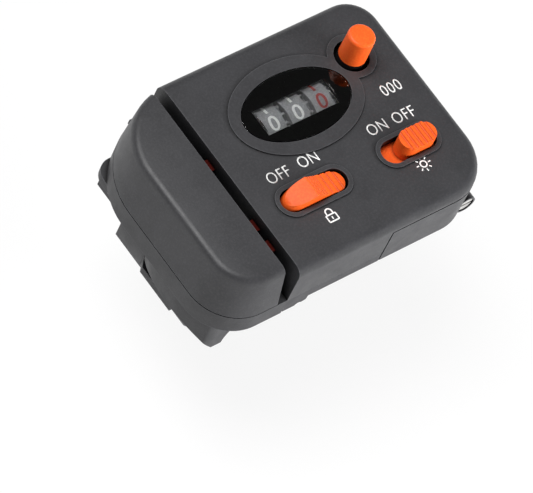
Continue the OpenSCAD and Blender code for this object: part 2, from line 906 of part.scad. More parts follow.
// Keeper: fingers through the slot's wall, a rail behind them and a forked tongue for the rocker's arm
module line_lock_keeper() {
  y0 = min(finger_y) - finger_w / 2;
  y1 = max(finger_y) + finger_w / 2;
  fork_half = arm_tip_r + 0.12;
  color("#e8501c")
    union() {
      translate([rail_x, y0, finger_z])
        cube([rail_w, y1 - y0, finger_t]);
      for (y = finger_y)
        translate([finger_tip_x, y - finger_w / 2, finger_z])
          cube([rail_x - finger_tip_x + eps, finger_w, finger_t]);
      translate([rail_x, web_y0, fork_z - tongue_t])
        cube([rail_w, web_y1 - web_y0, finger_z - fork_z + tongue_t + eps]);
      translate([rail_x, web_y0, fork_z - tongue_t])
        cube([arm_tip_x + fork_half + fork_wall - rail_x, web_y1 - web_y0, tongue_t]);
      for (x = [arm_tip_x - fork_half - fork_wall, arm_tip_x + fork_half])
        translate([x, web_y0, fork_z - eps])
          cube([fork_wall, web_y1 - web_y0, 2 * arm_tip_r + 0.8]);
    }
}

// Light switch knob: ribbed top on a plate that slides under the roof
module light_knob() {
  groove_n = 6;
  color("#ff5a1f")
    difference() {
      union() {
        rise(light_plate_z + light_plate_t - eps, top_z + light_rise)
          translate([light_knob_x + light_knob_l / 2, sw_y])
            stadium(light_knob_l, switch_w - 2 * gap_c);
        rise(light_plate_z, light_plate_z + light_plate_t)
          translate([light_cx + light_travel / 2, sw_y])
            square([light_l + light_travel - 2, switch_w + 1], center = true);
        translate([peg_x, sw_y, switch_top - 1.2])
          cylinder(r = peg_r, h = light_plate_z - switch_top + 1.2 + eps);
      }
      for (i = [1 : groove_n])
        bar_y(sw_y - switch_w, sw_y + switch_w,
          light_knob_x + light_knob_l * i / (groove_n + 1), top_z + light_rise + 0.12, 0.42);
    }
}

// Slide switch on the board, open along its top for the knob's peg
module light_switch() {
  l = light_travel + 2 * peg_r + 3;
  color("#b9bcc0")
    difference() {
      translate([peg_x - light_travel / 2 - l / 2, sw_y - 2.4, switch_z])
        cube([l, 4.8, switch_top - switch_z]);
      translate([peg_x - light_travel - peg_r - 0.3, sw_y - peg_r - 0.3, switch_top - 1.6])
        cube([light_travel + 2 * peg_r + 0.6, 2 * peg_r + 0.6, 3]);
    }
}

// Circuit board across the battery holder
module lamp_board() {
  color("#2f6b45")
    translate([cell_x - cell_r - cell_gap - holder_wall, cell_y - 4, holder_top])
      cube([2 * (cell_r + cell_gap + holder_wall), cell_r + cell_gap + holder_wall + 4, board_t]);
}

// Round lamp that lights the digits from the near side
module lamp() {
  color("#f4f6fa")
    union() {
      bar_y(lamp_y - 4, lamp_y, lamp_x, lamp_z, lamp_r);
      translate([lamp_x, lamp_y, lamp_z])
        sphere(lamp_r);
      bar_y(lamp_y - 4.9, lamp_y - 4 + eps, lamp_x, lamp_z, lamp_r + 0.18);
      for (s = [-1, 1])
        translate([lamp_x + s * 0.8 - 0.2, lamp_y - 6, holder_top + board_t])
          cube([0.4, 1.2, lamp_z - holder_top - board_t]);
    }
}

// Tray for the coin cell, open towards the door
module battery_holder() {
  w = cell_r + cell_gap;
  x0 = cell_x - w - holder_wall;
  y0 = cell_y - cell_r + 0.6;
  y1 = cell_y + w + holder_wall;
  color("#46464a")
    difference() {
      union() {
        intersection() {
          union() {
            translate([x0, y0, floor_z + holder_lift])
              cube([2 * (w + holder_wall), y1 - y0, holder_top - floor_z - holder_lift]);
            bar_y(screw_seat_y + 3.5, screw_seat_y + 9, screw_x, screw_z, 1.9);
            translate([cell_x, screw_seat_y + 3.5, floor_z + holder_lift])
              cube([screw_x - cell_x, 5.5, screw_z - floor_z - holder_lift]);
          }
          rise(floor_z, top_z)
            right_plan(wall + gap_c);
        }
        translate([x0 + 2.4, y0 + 2.4, floor_z])
          cube([2 * (w + holder_wall) - 4.8, y1 - y0 - 2.4, holder_lift + eps]);
      }
      translate([cell_x, cell_y, cell_z])
        cylinder(r = w, h = 20);
      translate([cell_x - w, y0 - 5, cell_z])
        cube([2 * w, cell_y - y0 + 5, 20]);
      bar_y(screw_seat_y, screw_seat_y + 7, screw_x, screw_z, screw_r);
      bar_y(y0 - 2, screw_seat_y + 1.4, screw_x, screw_z, lug_r + gap_c);
      translate([cell_x - 2.2, cell_y - 7.2, cell_z - contact_t - 0.25])
        cube([4.4, 14.4, 2]);
    }
}

module coin_cell() {
  color("#cfcfd2")
    translate([cell_x, cell_y, cell_z])
      rotate_extrude()
        difference() {
          square([cell_r, cell_t]);
          translate([cell_r - 1.1, -eps])
            square([2, 0.5]);
        }
}

// Contact strips under the cell and from the board down to its top
contact_t = 0.3;
module battery_contacts() {
  color("#d8c98a") {
    translate([cell_x - 2, cell_y - 7, cell_z - contact_t - 0.05])
      cube([4, 14, contact_t]);
    translate([cell_x - 2, cell_y + 1, cell_z + cell_t + 0.05])
      cube([4, 5, contact_t]);
    translate([cell_x - 2, cell_y + 6 - contact_t, cell_z + cell_t + 0.05])
      cube([4, contact_t, holder_top - cell_z - cell_t - 0.05]);
  }
}

// Frame that carries the counter's shafts: two plates joined by feet on the base's floor
module counter_frame() {
  y0 = frame_y0;
  y1 = carry_y + 2.6;
  foot = 1.6;
  color("#cfcabd")
    difference() {
      union() {
        for (x = [left_plate_x, right_plate_x])
          along_x(x, x + plate_t)
            frame_plate(y0, y1);
        for (y = [y0, y1 - 3])
          translate([left_plate_x, y, floor_z])
            cube([right_plate_x + plate_t - left_plate_x, 3, foot]);
      }
      for (a = [[lay_y, lay_z, lay_r], [count_y, count_z, shaft_r], [carry_y, count_z, carry_r]])
        bar_x(left_plate_x - 1, right_plate_x + plate_t + 1, a[0], a[1], a[2] + run_c);
    }
}

module frame_plate(y0, y1) {
  top = count_z + 4.6;
  difference() {
    translate([y0, floor_z])
      square([y1 - y0, top - floor_z]);
    for (s = [0, 1])
      translate([s == 0 ? y0 : y1, top])
        rotate(45)
          square(4.4, center = true);
    for (y = [lay_y, carry_y])
      translate([(y + count_y) / 2, floor_z + 3.4])
        circle(1.6);
  }
}

// Grooved measuring wheel in the slot
module measuring_wheel() {
  rim = run_r + flange_h;
  color("#e6e2d6")
    translate([0, axle_y, axle_z])
      rotate([0, 90, 0])
        rotate_extrude()
          polygon([
            [axle_r, -wheel_w / 2],
            [rim, -wheel_w / 2],
            [rim, -wheel_w / 2 + 0.3],
            [run_r, -0.25],
            [run_r, 0.25],
            [rim, wheel_w / 2 - 0.3],
            [rim, wheel_w / 2],
            [axle_r, wheel_w / 2]]);
}

module measuring_axle() {
  color("silver")
    bar_x(bush_places()[0] - 0.5, gear_x + gear_w + 0.2, axle_y, axle_z, axle_r);
}

// Direction from the measuring axle to the lay shaft, and from the lay shaft to the digit wheels
axle_turn = atan2(lay_z - axle_z, lay_y - axle_y);
lay_turn = atan2(count_z - lay_z, count_y - lay_y);

module axle_pinion() {
  color("#e6e2d6")
    along_x(gear_x, gear_x + gear_w)
      translate([axle_y, axle_z])
        difference() {
          gear(pinion_n, train_m, axle_turn);
          circle(axle_r);
        }
}

// Bushes pressed in the base's posts
module axle_bushes() {
  color("#b08d57")
    for (x = bush_places())
      along_x(x, x + bush_l)
        translate([axle_y, axle_z])
          difference() {
            circle(bush_r);
            circle(axle_r + run_c);
          }
}

module lay_shaft() {
  color("silver")
    bar_x(gear_x - 0.4, right_plate_x + plate_t + 0.4, lay_y, lay_z, lay_r);
}

module lay_gear() {
  color("#e6e2d6")
    along_x(gear_x, gear_x + gear_w)
      translate([lay_y, lay_z])
        difference() {
          gear(gear_n, train_m, axle_turn + 180 + 180 / gear_n);
          circle(lay_r);
          for (a = [0 : 60 : 300])
            rotate(a)
              translate([gear_n * train_m * 0.29, 0])
                circle(1.3);
        }
}

module lay_pinion() {
  color("#e6e2d6")
    along_x(drive_x + 0.1, drive_x + drive_w + 0.4)
      translate([lay_y, lay_z])
        difference() {
          gear(pinion_n, train_m, lay_turn);
          circle(lay_r);
        }
}

// Digit wheel at x: a cupped rim on a hub
module digit_wheel(x) {
  bar_x(x - digit_w / 2, x + digit_w / 2, count_y, count_z, digit_r);
}

// Carry disc on a wheel's left flank
module carry_disc(x) {
  bar_x(x - digit_w / 2 - 0.25, x - digit_w / 2 + eps, count_y, count_z, carry_disc_r);
}

// Ring of carry teeth on a wheel's right flank
module carry_ring(x) {
  along_x(x + digit_w / 2 - eps, x + digit_w / 2 + ring_w)
    translate([count_y, count_z])
      gear(ring_n, carry_m, 0);
}

// Bore of a wheel that runs on the counter shaft, with a hollow round the hub
module wheel_bore(x) {
  bar_x(x - digit_w, x + digit_w, count_y, count_z, shaft_r + run_c);
  bar_x(x - digit_w / 2 + 1, x + digit_w / 2 - 0.8, count_y, count_z, shaft_r + 0.8);
}

// Last digit wheel, with the driven gear on its right flank
module units_wheel() {
  color("#c9c9c9")
    difference() {
      union() {
        digit_wheel(units_x);
        carry_disc(units_x);
        along_x(drive_x - eps, drive_x + drive_w)
          translate([count_y, count_z])
            gear(gear_n, train_m, lay_turn + 180 + 180 / gear_n);
      }
      wheel_bore(units_x);
    }
}

module tens_wheel() {
  color("#c9c9c9")
    difference() {
      union() {
        digit_wheel(tens_x);
        carry_disc(tens_x);
        carry_ring(tens_x);
      }
      wheel_bore(tens_x);
    }
}

module hundreds_wheel() {
  color("#c9c9c9")
    difference() {
      union() {
        digit_wheel(hundreds_x);
        carry_ring(hundreds_x);
      }
      wheel_bore(hundreds_x);
    }
}

// Carry pinion between two wheels, running on the carry shaft
module carry_pinion(x) {
  color("#e6e2d6")
    along_x(x + digit_w / 2 + 0.15, x + digit_w / 2 + wheel_gap - 0.15)
      translate([carry_y, count_z])
        difference() {
          gear(carry_n, carry_m, 180 + 180 / carry_n);
          circle(carry_r + run_c);
        }
}

module tens_carry_pinion() {
  carry_pinion(tens_x);
}

module hundreds_carry_pinion() {
  carry_pinion(hundreds_x);
}

module carry_shaft() {
  color("silver")
    bar_x(left_plate_x - 0.4, right_plate_x + plate_t + 0.4, carry_y, count_z, carry_r);
}

// Shaft under the digit wheels, with the pinion that the reset rack turns
module counter_shaft() {
  color("silver")
    union() {
      bar_x(left_plate_x - 0.4, rack_x - 0.5, count_y, count_z, shaft_r);
      along_x(rack_x - 0.5 - eps, rack_x + rack_w + 0.3)
        translate([count_y, count_z])
          gear(reset_n, rack_m, 0);
    }
}

// Plan that both clamp halves are cut to: a round lobe under the near end of the side block
module clamp_plan() {
  intersection() {
    union() {
      translate([lobe_x, -lobe_y])
        circle(lobe_r);
      translate([-saddle_r - cheek_t, -body_len])
        square([2 * saddle_r + cheek_t + 20, 2 * body_len]);
    }
    translate([-60, -clamp_len / 2])
      square([120, clamp_len]);
  }
}

// Saddle under the base: flange, cheeks over the rod and the outer hinge knuckles
module rod_saddle() {
  color("#2e2e31")
    difference() {
      union() {
        intersection() {
          along_y(-clamp_len / 2, clamp_len / 2)
            saddle_side();
          union() {
            rise(-60, base_z)
              clamp_plan();
            rise(base_z - flange_w, base_z)
              translate([-foot_x - screw_head_r - 0.3, 0])
                square([foot_x + screw_head_r, clamp_len / 2]);
          }
        }
        for (s = [-1, 1])
          bar_y(s > 0 ? knuckle_mid : -knuckle_out, s > 0 ? knuckle_out : -knuckle_mid,
            hinge_x, 0, knuckle_r);
      }
      bar_y(-clamp_len, clamp_len, 0, 0, saddle_r);
      bar_y(-clamp_len, clamp_len, hinge_x, 0, hinge_r);
      bar_y(-knuckle_mid, knuckle_mid, hinge_x, 0, knuckle_r + gap_c);
      wheel_well();
      leg_room(1);
      for (p = foot_screws)
        translate([p[0], p[1], 0]) {
          cylinder(r = screw_r + slide_c, h = base_z + 1);
          cylinder(r = screw_head_r + slide_c, h = base_z - flange_w + 0.5);
        }
    }
}

module saddle_side() {
  cheek = saddle_r + jaw_t;
  polygon([
    [-cheek, split_c],
    [hinge_x, split_c],
    [hinge_x + knuckle_r - 0.4, 1],
    [cheek + 4.6, base_z - flange_w],
    [cheek + 4.6, base_z],
    [-cheek - 6.2, base_z],
    [-cheek - 6.2, base_z - side_drop],
    [-cheek - 3.6, base_z - side_drop - 2.6]]);
}

// Rubber lining over a stretch of the rod's round
module rod_pad(turn, len) {
  a = pad_arc / 2;
  reach = 2 * saddle_r;
  along_y(-len / 2 + 1, len / 2 - 1)
    rotate(turn)
      intersection() {
        difference() {
          circle(saddle_r - eps);
          circle(rod_r);
        }
        polygon([[0, 0], [reach * cos(a), -reach * sin(a)], [reach, -reach], [reach, reach],
          [reach * cos(a), reach * sin(a)]]);
      }
}

module saddle_pad() {
  color("#1c1c1e")
    rod_pad(90, clamp_len);
}

module jaw_pad() {
  color("#1c1c1e")
    rod_pad(-90, jaw_len);
}

// Jaw under the rod: half ring with the inner knuckles and a finger lip on its free end
module clamp_jaw() {
  outer = saddle_r + jaw_t;
  color("#2e2e31")
    difference() {
      intersection() {
        union() {
          along_y(-jaw_len / 2, jaw_len / 2)
            jaw_side(outer);
          translate([-outer - lip_w, -lip_l / 2, -split_c - 2])
            cube([jaw_t + lip_w - 0.4, lip_l, 2]);
          for (s = [-1, 1])
            along_y(s > 0 ? knuckle_in : -knuckle_mid + slide_c, s > 0 ? knuckle_mid - slide_c : -knuckle_in)
              jaw_knuckle(outer);
        }
        rise(-60, 60)
          clamp_plan();
      }
      bar_y(-clamp_len, clamp_len, 0, 0, saddle_r);
      bar_y(-clamp_len, clamp_len, hinge_x, 0, hinge_r + run_c);
      for (s = [-1, 1])
        bar_y(s > 0 ? knuckle_mid - slide_c : -clamp_len, s > 0 ? clamp_len : -knuckle_mid + slide_c,
          hinge_x, 0, knuckle_r + gap_c);
      bar_y(-knuckle_in, knuckle_in, hinge_x, 0, knuckle_r + gap_c);
      leg_room(-1);
    }
}

module jaw_side(outer) {
  intersection() {
    circle(outer);
    translate([-outer, -outer])
      square([2 * outer, outer - split_c]);
  }
}

// Slot that a leg of the clamp spring lies in: up in the saddle, down in the jaw
module leg_room(way) {
  w = coil_wire + 0.5;
  translate([hinge_x - coil_r - w / 2, way * coil_pitch * coil_turns / 2 - w / 2, way > 0 ? -1 : -coil_leg - 0.4])
    cube([w, w, coil_leg + 1.4]);
}

module jaw_knuckle(outer) {
  translate([hinge_x, 0])
    circle(knuckle_r);
  polygon([
    [hinge_x, -split_c],
    [hinge_x, -knuckle_r],
    [outer * 0.84, -outer * 0.54],
    [saddle_r, -split_c]]);
}

module hinge_pin() {
  color("silver")
    bar_y(-knuckle_out, knuckle_out, hinge_x, 0, hinge_r);
}

// Torsion spring on the hinge pin, one unbroken wire with a leg against each half of the clamp
function coil_point(t) = [
  hinge_x - coil_r * cos(360 * t),
  coil_pitch * (t - coil_turns / 2),
  coil_r * sin(360 * t)];
module clamp_spring() {
  start = coil_point(0);
  end = coil_point(coil_turns);
  turns = [for (i = [0 : 8 * coil_turns]) coil_point(i / 8)];
  color("silver")
    sweep(concat([start - [0, 0, coil_leg]], turns, [end + [0, 0, coil_leg]]), coil_wire / 2);
}
echo("clamp spring, gap between turns", coil_pitch - coil_wire);

// Screws that hold the saddle to the base
module saddle_screws() {
  color("#8a8a8c")
    for (p = foot_screws)
      translate([p[0], p[1], base_z - flange_w + 0.5 - screw_head_t]) {
        cylinder(r = screw_head_r, h = screw_head_t);
        cylinder(r = screw_r - 0.02, h = flange_w + floor_t + screw_head_t - 0.4);
      }
}

base_shell();
counter_cover();
side_cover();
battery_door();
door_screw();
housing_screws();
window_lens();
window_mask();
reset_button();
reset_stem();
reset_spring();
line_lock_rocker();
rocker_pin();
line_lock_keeper();
light_knob();
light_switch();
lamp_board();
lamp();
battery_holder();
coin_cell();
battery_contacts();
counter_frame();
measuring_wheel();
measuring_axle();
axle_pinion();
axle_bushes();
lay_shaft();
lay_gear();
lay_pinion();
units_wheel();
tens_wheel();
hundreds_wheel();
tens_carry_pinion();
hundreds_carry_pinion();
carry_shaft();
counter_shaft();
rod_saddle();
saddle_pad();
clamp_jaw();
jaw_pad();
hinge_pin();
clamp_spring();
saddle_screws();
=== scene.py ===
import json
import math

import bpy
from bpy.props import FloatProperty, FloatVectorProperty, PointerProperty
from mathutils import Matrix, Vector


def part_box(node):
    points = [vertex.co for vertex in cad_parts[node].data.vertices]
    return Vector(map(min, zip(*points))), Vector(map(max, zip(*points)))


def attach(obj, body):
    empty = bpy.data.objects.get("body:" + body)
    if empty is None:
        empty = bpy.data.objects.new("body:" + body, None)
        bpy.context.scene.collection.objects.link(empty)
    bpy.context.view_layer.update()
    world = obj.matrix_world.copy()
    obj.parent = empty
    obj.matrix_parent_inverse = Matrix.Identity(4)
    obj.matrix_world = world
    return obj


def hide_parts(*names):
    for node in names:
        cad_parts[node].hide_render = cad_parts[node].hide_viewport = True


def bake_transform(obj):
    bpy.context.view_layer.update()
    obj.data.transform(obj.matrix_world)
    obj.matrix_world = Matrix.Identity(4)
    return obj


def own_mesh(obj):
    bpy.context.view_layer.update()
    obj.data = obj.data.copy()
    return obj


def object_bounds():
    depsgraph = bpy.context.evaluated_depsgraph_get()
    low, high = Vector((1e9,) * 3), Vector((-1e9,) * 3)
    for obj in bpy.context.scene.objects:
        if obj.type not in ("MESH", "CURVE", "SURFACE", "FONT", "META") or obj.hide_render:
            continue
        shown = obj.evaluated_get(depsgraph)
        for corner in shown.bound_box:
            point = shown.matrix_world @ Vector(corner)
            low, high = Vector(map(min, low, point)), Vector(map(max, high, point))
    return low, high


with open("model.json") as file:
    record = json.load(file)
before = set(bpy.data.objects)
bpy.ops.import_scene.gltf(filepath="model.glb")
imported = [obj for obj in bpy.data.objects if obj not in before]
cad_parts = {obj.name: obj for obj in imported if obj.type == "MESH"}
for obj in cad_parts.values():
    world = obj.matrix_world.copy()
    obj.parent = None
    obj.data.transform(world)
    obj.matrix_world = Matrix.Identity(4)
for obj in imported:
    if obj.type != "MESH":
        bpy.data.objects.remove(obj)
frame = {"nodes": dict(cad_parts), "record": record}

bl_info = {
    "name": "Fishing Line Counter",
    "version": (1, 0, 0),
    "blender": (4, 5, 0),
    "location": "View3D > Sidebar > Line Counter",
    "description": "Dresses the solids of a clip-on line counter in finished pieces and materials",
    "category": "Object",
}

# The solids' own box, kept before anything is added to the scene
SOLID_BOX = [list(corner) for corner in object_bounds()]

MM = 0.001

# Levels and axes of the counter, taken from its solids
TOP_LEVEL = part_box("side_cover")[1].z
WHEEL_LOW, WHEEL_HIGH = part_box("tens_wheel")
WHEEL_RADIUS = (WHEEL_HIGH.y - WHEEL_LOW.y) / 2
WHEEL_Y = (WHEEL_HIGH.y + WHEEL_LOW.y) / 2
WHEEL_Z = (WHEEL_HIGH.z + WHEEL_LOW.z) / 2
SPRING_LOW, SPRING_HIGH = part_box("reset_spring")
PIN_LOW, PIN_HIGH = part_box("hinge_pin")
BUTTON_LOW, BUTTON_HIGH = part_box("reset_button")

# Points closer than this are one point: on copies of the solids, and on wire and print
MERGE = 0.002 * MM
FINE_MERGE = 0.001 * MM

# How far a point may lie from a level or an outline, or from an end face, and still count as on it
NEAR = 0.05 * MM
END_REACH = 0.1 * MM

# Angles in degrees: faces that turn less than FLAT_ANGLE become one, and an edge is sharp where it
# turns more than the angle for its kind of piece
FLAT_ANGLE = 0.4
SHARP_ANGLE = 35
HOUSING_ANGLE = 25
WIRE_ANGLE = 50
PRINT_ANGLE = 30

# Bar over the numbers: half its length and width on the solids and as shown, and its shown middle
BAR_HALF_LENGTH, BAR_HALF_WIDTH = 11.7 * MM, 3.1 * MM
SHOWN_HALF_LENGTH, SHOWN_HALF_WIDTH = 10.05 * MM, 3.35 * MM
SHOWN_X, SHOWN_Y = 25.95 * MM, 8.25 * MM

# Reset button: its share of the solid's width at the foot, what the draft takes off on the way up,
# and the level below which the button is painted near-black, a painted shade of the hole round its
# foot
BUTTON_FOOT = 0.955
BUTTON_DRAFT = 0.045
HOLE_SHADE_LEVEL = TOP_LEVEL + 1.0 * MM

# Number wheels: middle of each printed band along the counter shaft, width and weight of the
# numbers, strips that each is cut into and, in radians, the step from one number to the next and
# how far from the top the shown one sits
BAND_X = {"hundreds": 19.5 * MM, "tens": 26.3 * MM, "units": 33.1 * MM}
DIGIT_WIDTH = 1.12
DIGIT_WEIGHT = 0.012
DIGIT_STRIPS = 14
DIGIT_STEP = math.radians(36)
DIGIT_LEAN = -0.17

# Radius of the clamp spring's coil round the hinge pin
CLAMP_COIL = 1.85 * MM

# Rounded corners of the saddle: the left reach that picks each one out, and its radius
FLANGE_LEFT, FLANGE_ROUND = -14.3 * MM, 4.2 * MM
LOBE_LEFT, LOBE_ROUND = -13.6 * MM, 2.4 * MM

# Words on the top face: the letters, their middle in millimetres and their spacing, then the width
# and weight of all letters
WORDS = {
    "lock_off": ("OFF", 11.6, -4.3, 1.06),
    "lock_on": ("ON", 20.1, -4.0, 1.06),
    "light_on": ("ON", 39.7, -4.3, 1.06),
    "light_off": ("OFF", 47.3, -4.3, 1.06),
    "zero_sign": ("000", 49.1, 2.8, 1.1),
}
LETTER_WIDTH = 0.84
LETTER_WEIGHT = -0.004

# Middles of the two signs on the top face, in millimetres
LOCK_SIGN = (16.2, -18.0)
LAMP_SIGN = (43.6, -16.8)

# Studio: room under the counter for the open jaw, height of the pale wall and its share of the
# floor's width, how white the floor looks, the level of the surrounding light and what the lamps face
JAW_ROOM = 14.5 * MM
WALL_HEIGHT = 0.5
WALL_REACH = 0.48
FLOOR_WHITE = 0.86
WORLD_LIGHT = 0.12
LAMP_AIM = (0.015, 0.0, 0.015)

# Camera: directions to its right and backwards, the point in the middle of the picture, its
# distance, the width of the picture there and that of the sensor in millimetres
CAMERA_RIGHT = (0.770, -0.572, 0.275)
CAMERA_BACK = (-0.510, -0.3005, 0.8026)
CAMERA_TARGET = Vector((5.718, -13.526, 16.10)) * MM
CAMERA_DISTANCE = 1.2
PICTURE_WIDTH = 0.11587
SENSOR_WIDTH = 36.0

# Materials by finish, filled by the first operator
FINISHES = {}


def size_property(name, description, default, low, high):
    return FloatProperty(name=name, description=description, default=default, min=low, max=high,
                         subtype="DISTANCE", unit="LENGTH")


def colour_property(name, description, default):
    return FloatVectorProperty(name=name, description=description, default=default, size=3,
                               min=0, max=1, subtype="COLOR")


class CounterSizes(bpy.types.PropertyGroup):
    """Sizes of the added detail"""

    edge_round: size_property(
        "Edge round", "Radius broken on the moulded edges", 0.20 * MM, 0.02 * MM, 0.5 * MM)
    fine_edge: size_property(
        "Fine edge", "Radius broken on small parts and metal", 0.08 * MM, 0.01 * MM, 0.3 * MM)
    door_gap: size_property(
        "Door gap", "Extra gap along the door's left and upper edges", 0.30 * MM, 0.0, 0.5 * MM)
    cover_seam: size_property(
        "Cover seam", "Gap under the side cover's lower rim", 0.22 * MM, 0.0, 0.4 * MM)
    print_height: size_property(
        "Print height", "Thickness of the printed marks", 0.025 * MM, 0.005 * MM, 0.1 * MM)
    letter_height: size_property(
        "Letter height", "Height of the letters beside the switches", 2.85 * MM, 1.5 * MM, 4 * MM)
    digit_height: size_property(
        "Digit height", "Height of the numbers on the wheels", 3.5 * MM, 2 * MM, 4 * MM)
    spring_wire: size_property(
        "Button spring wire", "Thickness of the button spring's wire", 0.4 * MM, 0.2 * MM, 0.6 * MM)
    clamp_wire: size_property(
        "Clamp spring wire", "Thickness of the clamp spring's wire", 0.6 * MM, 0.3 * MM, 0.8 * MM)
    floor_size: size_property("Floor size", "Width of the studio floor", 6.0, 4.0, 10.0)


class CounterColours(bpy.types.PropertyGroup):
    """Colours of the materials, in linear light"""

    housing: colour_property(
        "Housing", "Charcoal of the covers and the door", (0.036, 0.036, 0.039))
    housing_dark: colour_property(
        "Lower housing", "Charcoal of the base and clamp", (0.030, 0.030, 0.033))
    orange: colour_property(
        "Controls", "Orange of the button and switches", (0.96, 0.120, 0.017))
    # The keeper's orange darkened, a painted shade of the dark slot it lies in
    orange_deep: colour_property(
        "Keeper", "Deep orange of the keeper", (0.09, 0.006, 0.003))
    inner_plastic: colour_property("Gears", "Natural plastic of the works", (0.52, 0.50, 0.45))
    digit_wheel: colour_property("Number wheels", "Grey of the number wheels", (0.30, 0.30, 0.31))
    lens: colour_property("Window", "Tint of the clear window", (0.97, 0.98, 0.98))
    lamp_lens: colour_property("Lamp", "Milky resin of the lamp", (0.82, 0.84, 0.82))
    mask: colour_property("Window mask", "Black round the numbers", (0.009, 0.009, 0.011))
    board: colour_property("Circuit board", "Green of the lamp's board", (0.02, 0.14, 0.05))
    pad: colour_property("Rubber", "Black of the clamp's lining", (0.022, 0.022, 0.022))
    brass: colour_property("Brass", "Bushes and contacts", (0.78, 0.55, 0.22))
    nickel: colour_property("Nickel", "Plated screw and cell", (0.90, 0.89, 0.87))
    steel: colour_property("Steel", "Shafts, pins and springs", (0.50, 0.50, 0.51))
    white_ink: colour_property(
        "White print", "Marks on the housing and two wheels", (0.95, 0.95, 0.94))
    red_ink: colour_property("Red print", "Numbers of the last wheel", (0.42, 0.06, 0.055))
    floor: colour_property("Floor", "Pale studio floor", (0.92, 0.92, 0.92))


def sizes():
    return bpy.context.scene.counter_sizes


def colours():
    return bpy.context.scene.counter_colours


# Materials

class Recipe:
    """A new material with a Principled shader and short ways to add its texture nodes"""

    def __init__(self, name):
        self.material = bpy.data.materials.new(name)
        self.material.use_nodes = True
        self.tree = self.material.node_tree
        self.tree.nodes.clear()
        self.output = self.tree.nodes.new("ShaderNodeOutputMaterial")
        self.shader = self.tree.nodes.new("ShaderNodeBsdfPrincipled")
        self.link(self.shader.outputs["BSDF"], self.output.inputs["Surface"])
        self.place = self.tree.nodes.new("ShaderNodeTexCoord").outputs["Object"]

    def link(self, source, target):
        self.tree.links.new(source, target)

    def set_sockets(self, **values):
        """Even values of the shader, by socket name with _ for a space"""
        for name, value in values.items():
            self.shader.inputs[name.replace("_", " ")].default_value = value

    def noise(self, size_mm, detail=3.0, roughness=0.5, stretch=None):
        """Noise whose features are about size_mm wide"""
        node = self.tree.nodes.new("ShaderNodeTexNoise")
        node.inputs["Scale"].default_value = 1.0 / (size_mm * MM)
        node.inputs["Detail"].default_value = detail
        node.inputs["Roughness"].default_value = roughness
        if stretch:
            mapping = self.tree.nodes.new("ShaderNodeMapping")
            mapping.inputs["Scale"].default_value = stretch
            self.link(self.place, mapping.inputs["Vector"])
            self.link(mapping.outputs["Vector"], node.inputs["Vector"])
        else:
            self.link(self.place, node.inputs["Vector"])
        return node.outputs["Fac"]

    def pits(self, size_mm):
        """Cell pattern for moulded pebble grain"""
        node = self.tree.nodes.new("ShaderNodeTexVoronoi")
        node.feature = "SMOOTH_F1"
        node.inputs["Scale"].default_value = 1.0 / (size_mm * MM)
        node.inputs["Smoothness"].default_value = 0.6
        self.link(self.place, node.inputs["Vector"])
        return node.outputs["Distance"]

    def range(self, value, low, high, out_low, out_high):
        node = self.tree.nodes.new("ShaderNodeMapRange")
        node.inputs["From Min"].default_value = low
        node.inputs["From Max"].default_value = high
        node.inputs["To Min"].default_value = out_low
        node.inputs["To Max"].default_value = out_high
        self.link(value, node.inputs["Value"])
        return node.outputs["Result"]

    def patches(self, value, low=0.3, high=0.7):
        """A noise spread over the whole range from 0 to 1"""
        return self.range(value, low, high, 0.0, 1.0)

    def mix(self, factor, first, second):
        """Colour that goes from first to second with factor"""
        node = self.tree.nodes.new("ShaderNodeMix")
        node.data_type = "RGBA"
        self.link(factor, node.inputs["Factor"])
        for value, socket in ((first, node.inputs["A"]), (second, node.inputs["B"])):
            if isinstance(value, bpy.types.NodeSocket):
                self.link(value, socket)
            else:
                socket.default_value = (*value, 1.0)
        return node.outputs["Result"]

    def edges(self, reach_mm, low, high):
        """1 on edges narrower than reach_mm, where the surface turns, 0 on flat surfaces"""
        rounded = self.tree.nodes.new("ShaderNodeBevel")
        rounded.samples = 6
        rounded.inputs["Radius"].default_value = reach_mm * MM
        face = self.tree.nodes.new("ShaderNodeNewGeometry")
        turn = self.tree.nodes.new("ShaderNodeVectorMath")
        turn.operation = "DOT_PRODUCT"
        self.link(rounded.outputs["Normal"], turn.inputs[0])
        self.link(face.outputs["True Normal"], turn.inputs[1])
        return self.range(turn.outputs["Value"], low, high, 1.0, 0.0)

    def hollows(self, reach_mm, low, high):
        """1 in seams and corners narrower than reach_mm, 0 on open surfaces, from ambient occlusion:
        the mask for painted shade
        """
        node = self.tree.nodes.new("ShaderNodeAmbientOcclusion")
        node.samples = 8
        node.inputs["Distance"].default_value = reach_mm * MM
        return self.range(node.outputs["AO"], low, high, 1.0, 0.0)

    def below(self, level):
        """1 below a level, 0 above it"""
        height = self.tree.nodes.new("ShaderNodeSeparateXYZ")
        self.link(self.place, height.inputs["Vector"])
        step = 0.03 * MM
        return self.range(height.outputs["Z"], level - step, level + step, 1.0, 0.0)

    def paint(self, colour):
        self.link(colour, self.shader.inputs["Base Color"])

    def dull(self, noise, least, most, low=0.3, high=0.7):
        """Roughness that drifts from least to most with a noise"""
        self.link(self.range(noise, low, high, least, most), self.shader.inputs["Roughness"])

    def bump(self, height, depth_mm, strength):
        """Fine relief on top of any relief that is there already"""
        node = self.tree.nodes.new("ShaderNodeBump")
        node.inputs["Strength"].default_value = strength
        node.inputs["Distance"].default_value = depth_mm * MM
        self.link(height, node.inputs["Height"])
        previous = self.shader.inputs["Normal"]
        if previous.links:
            self.link(previous.links[0].from_socket, node.inputs["Normal"])
        self.link(node.outputs["Normal"], previous)


def shade(colour, factor):
    return tuple(min(1.0, channel * factor) for channel in colour)


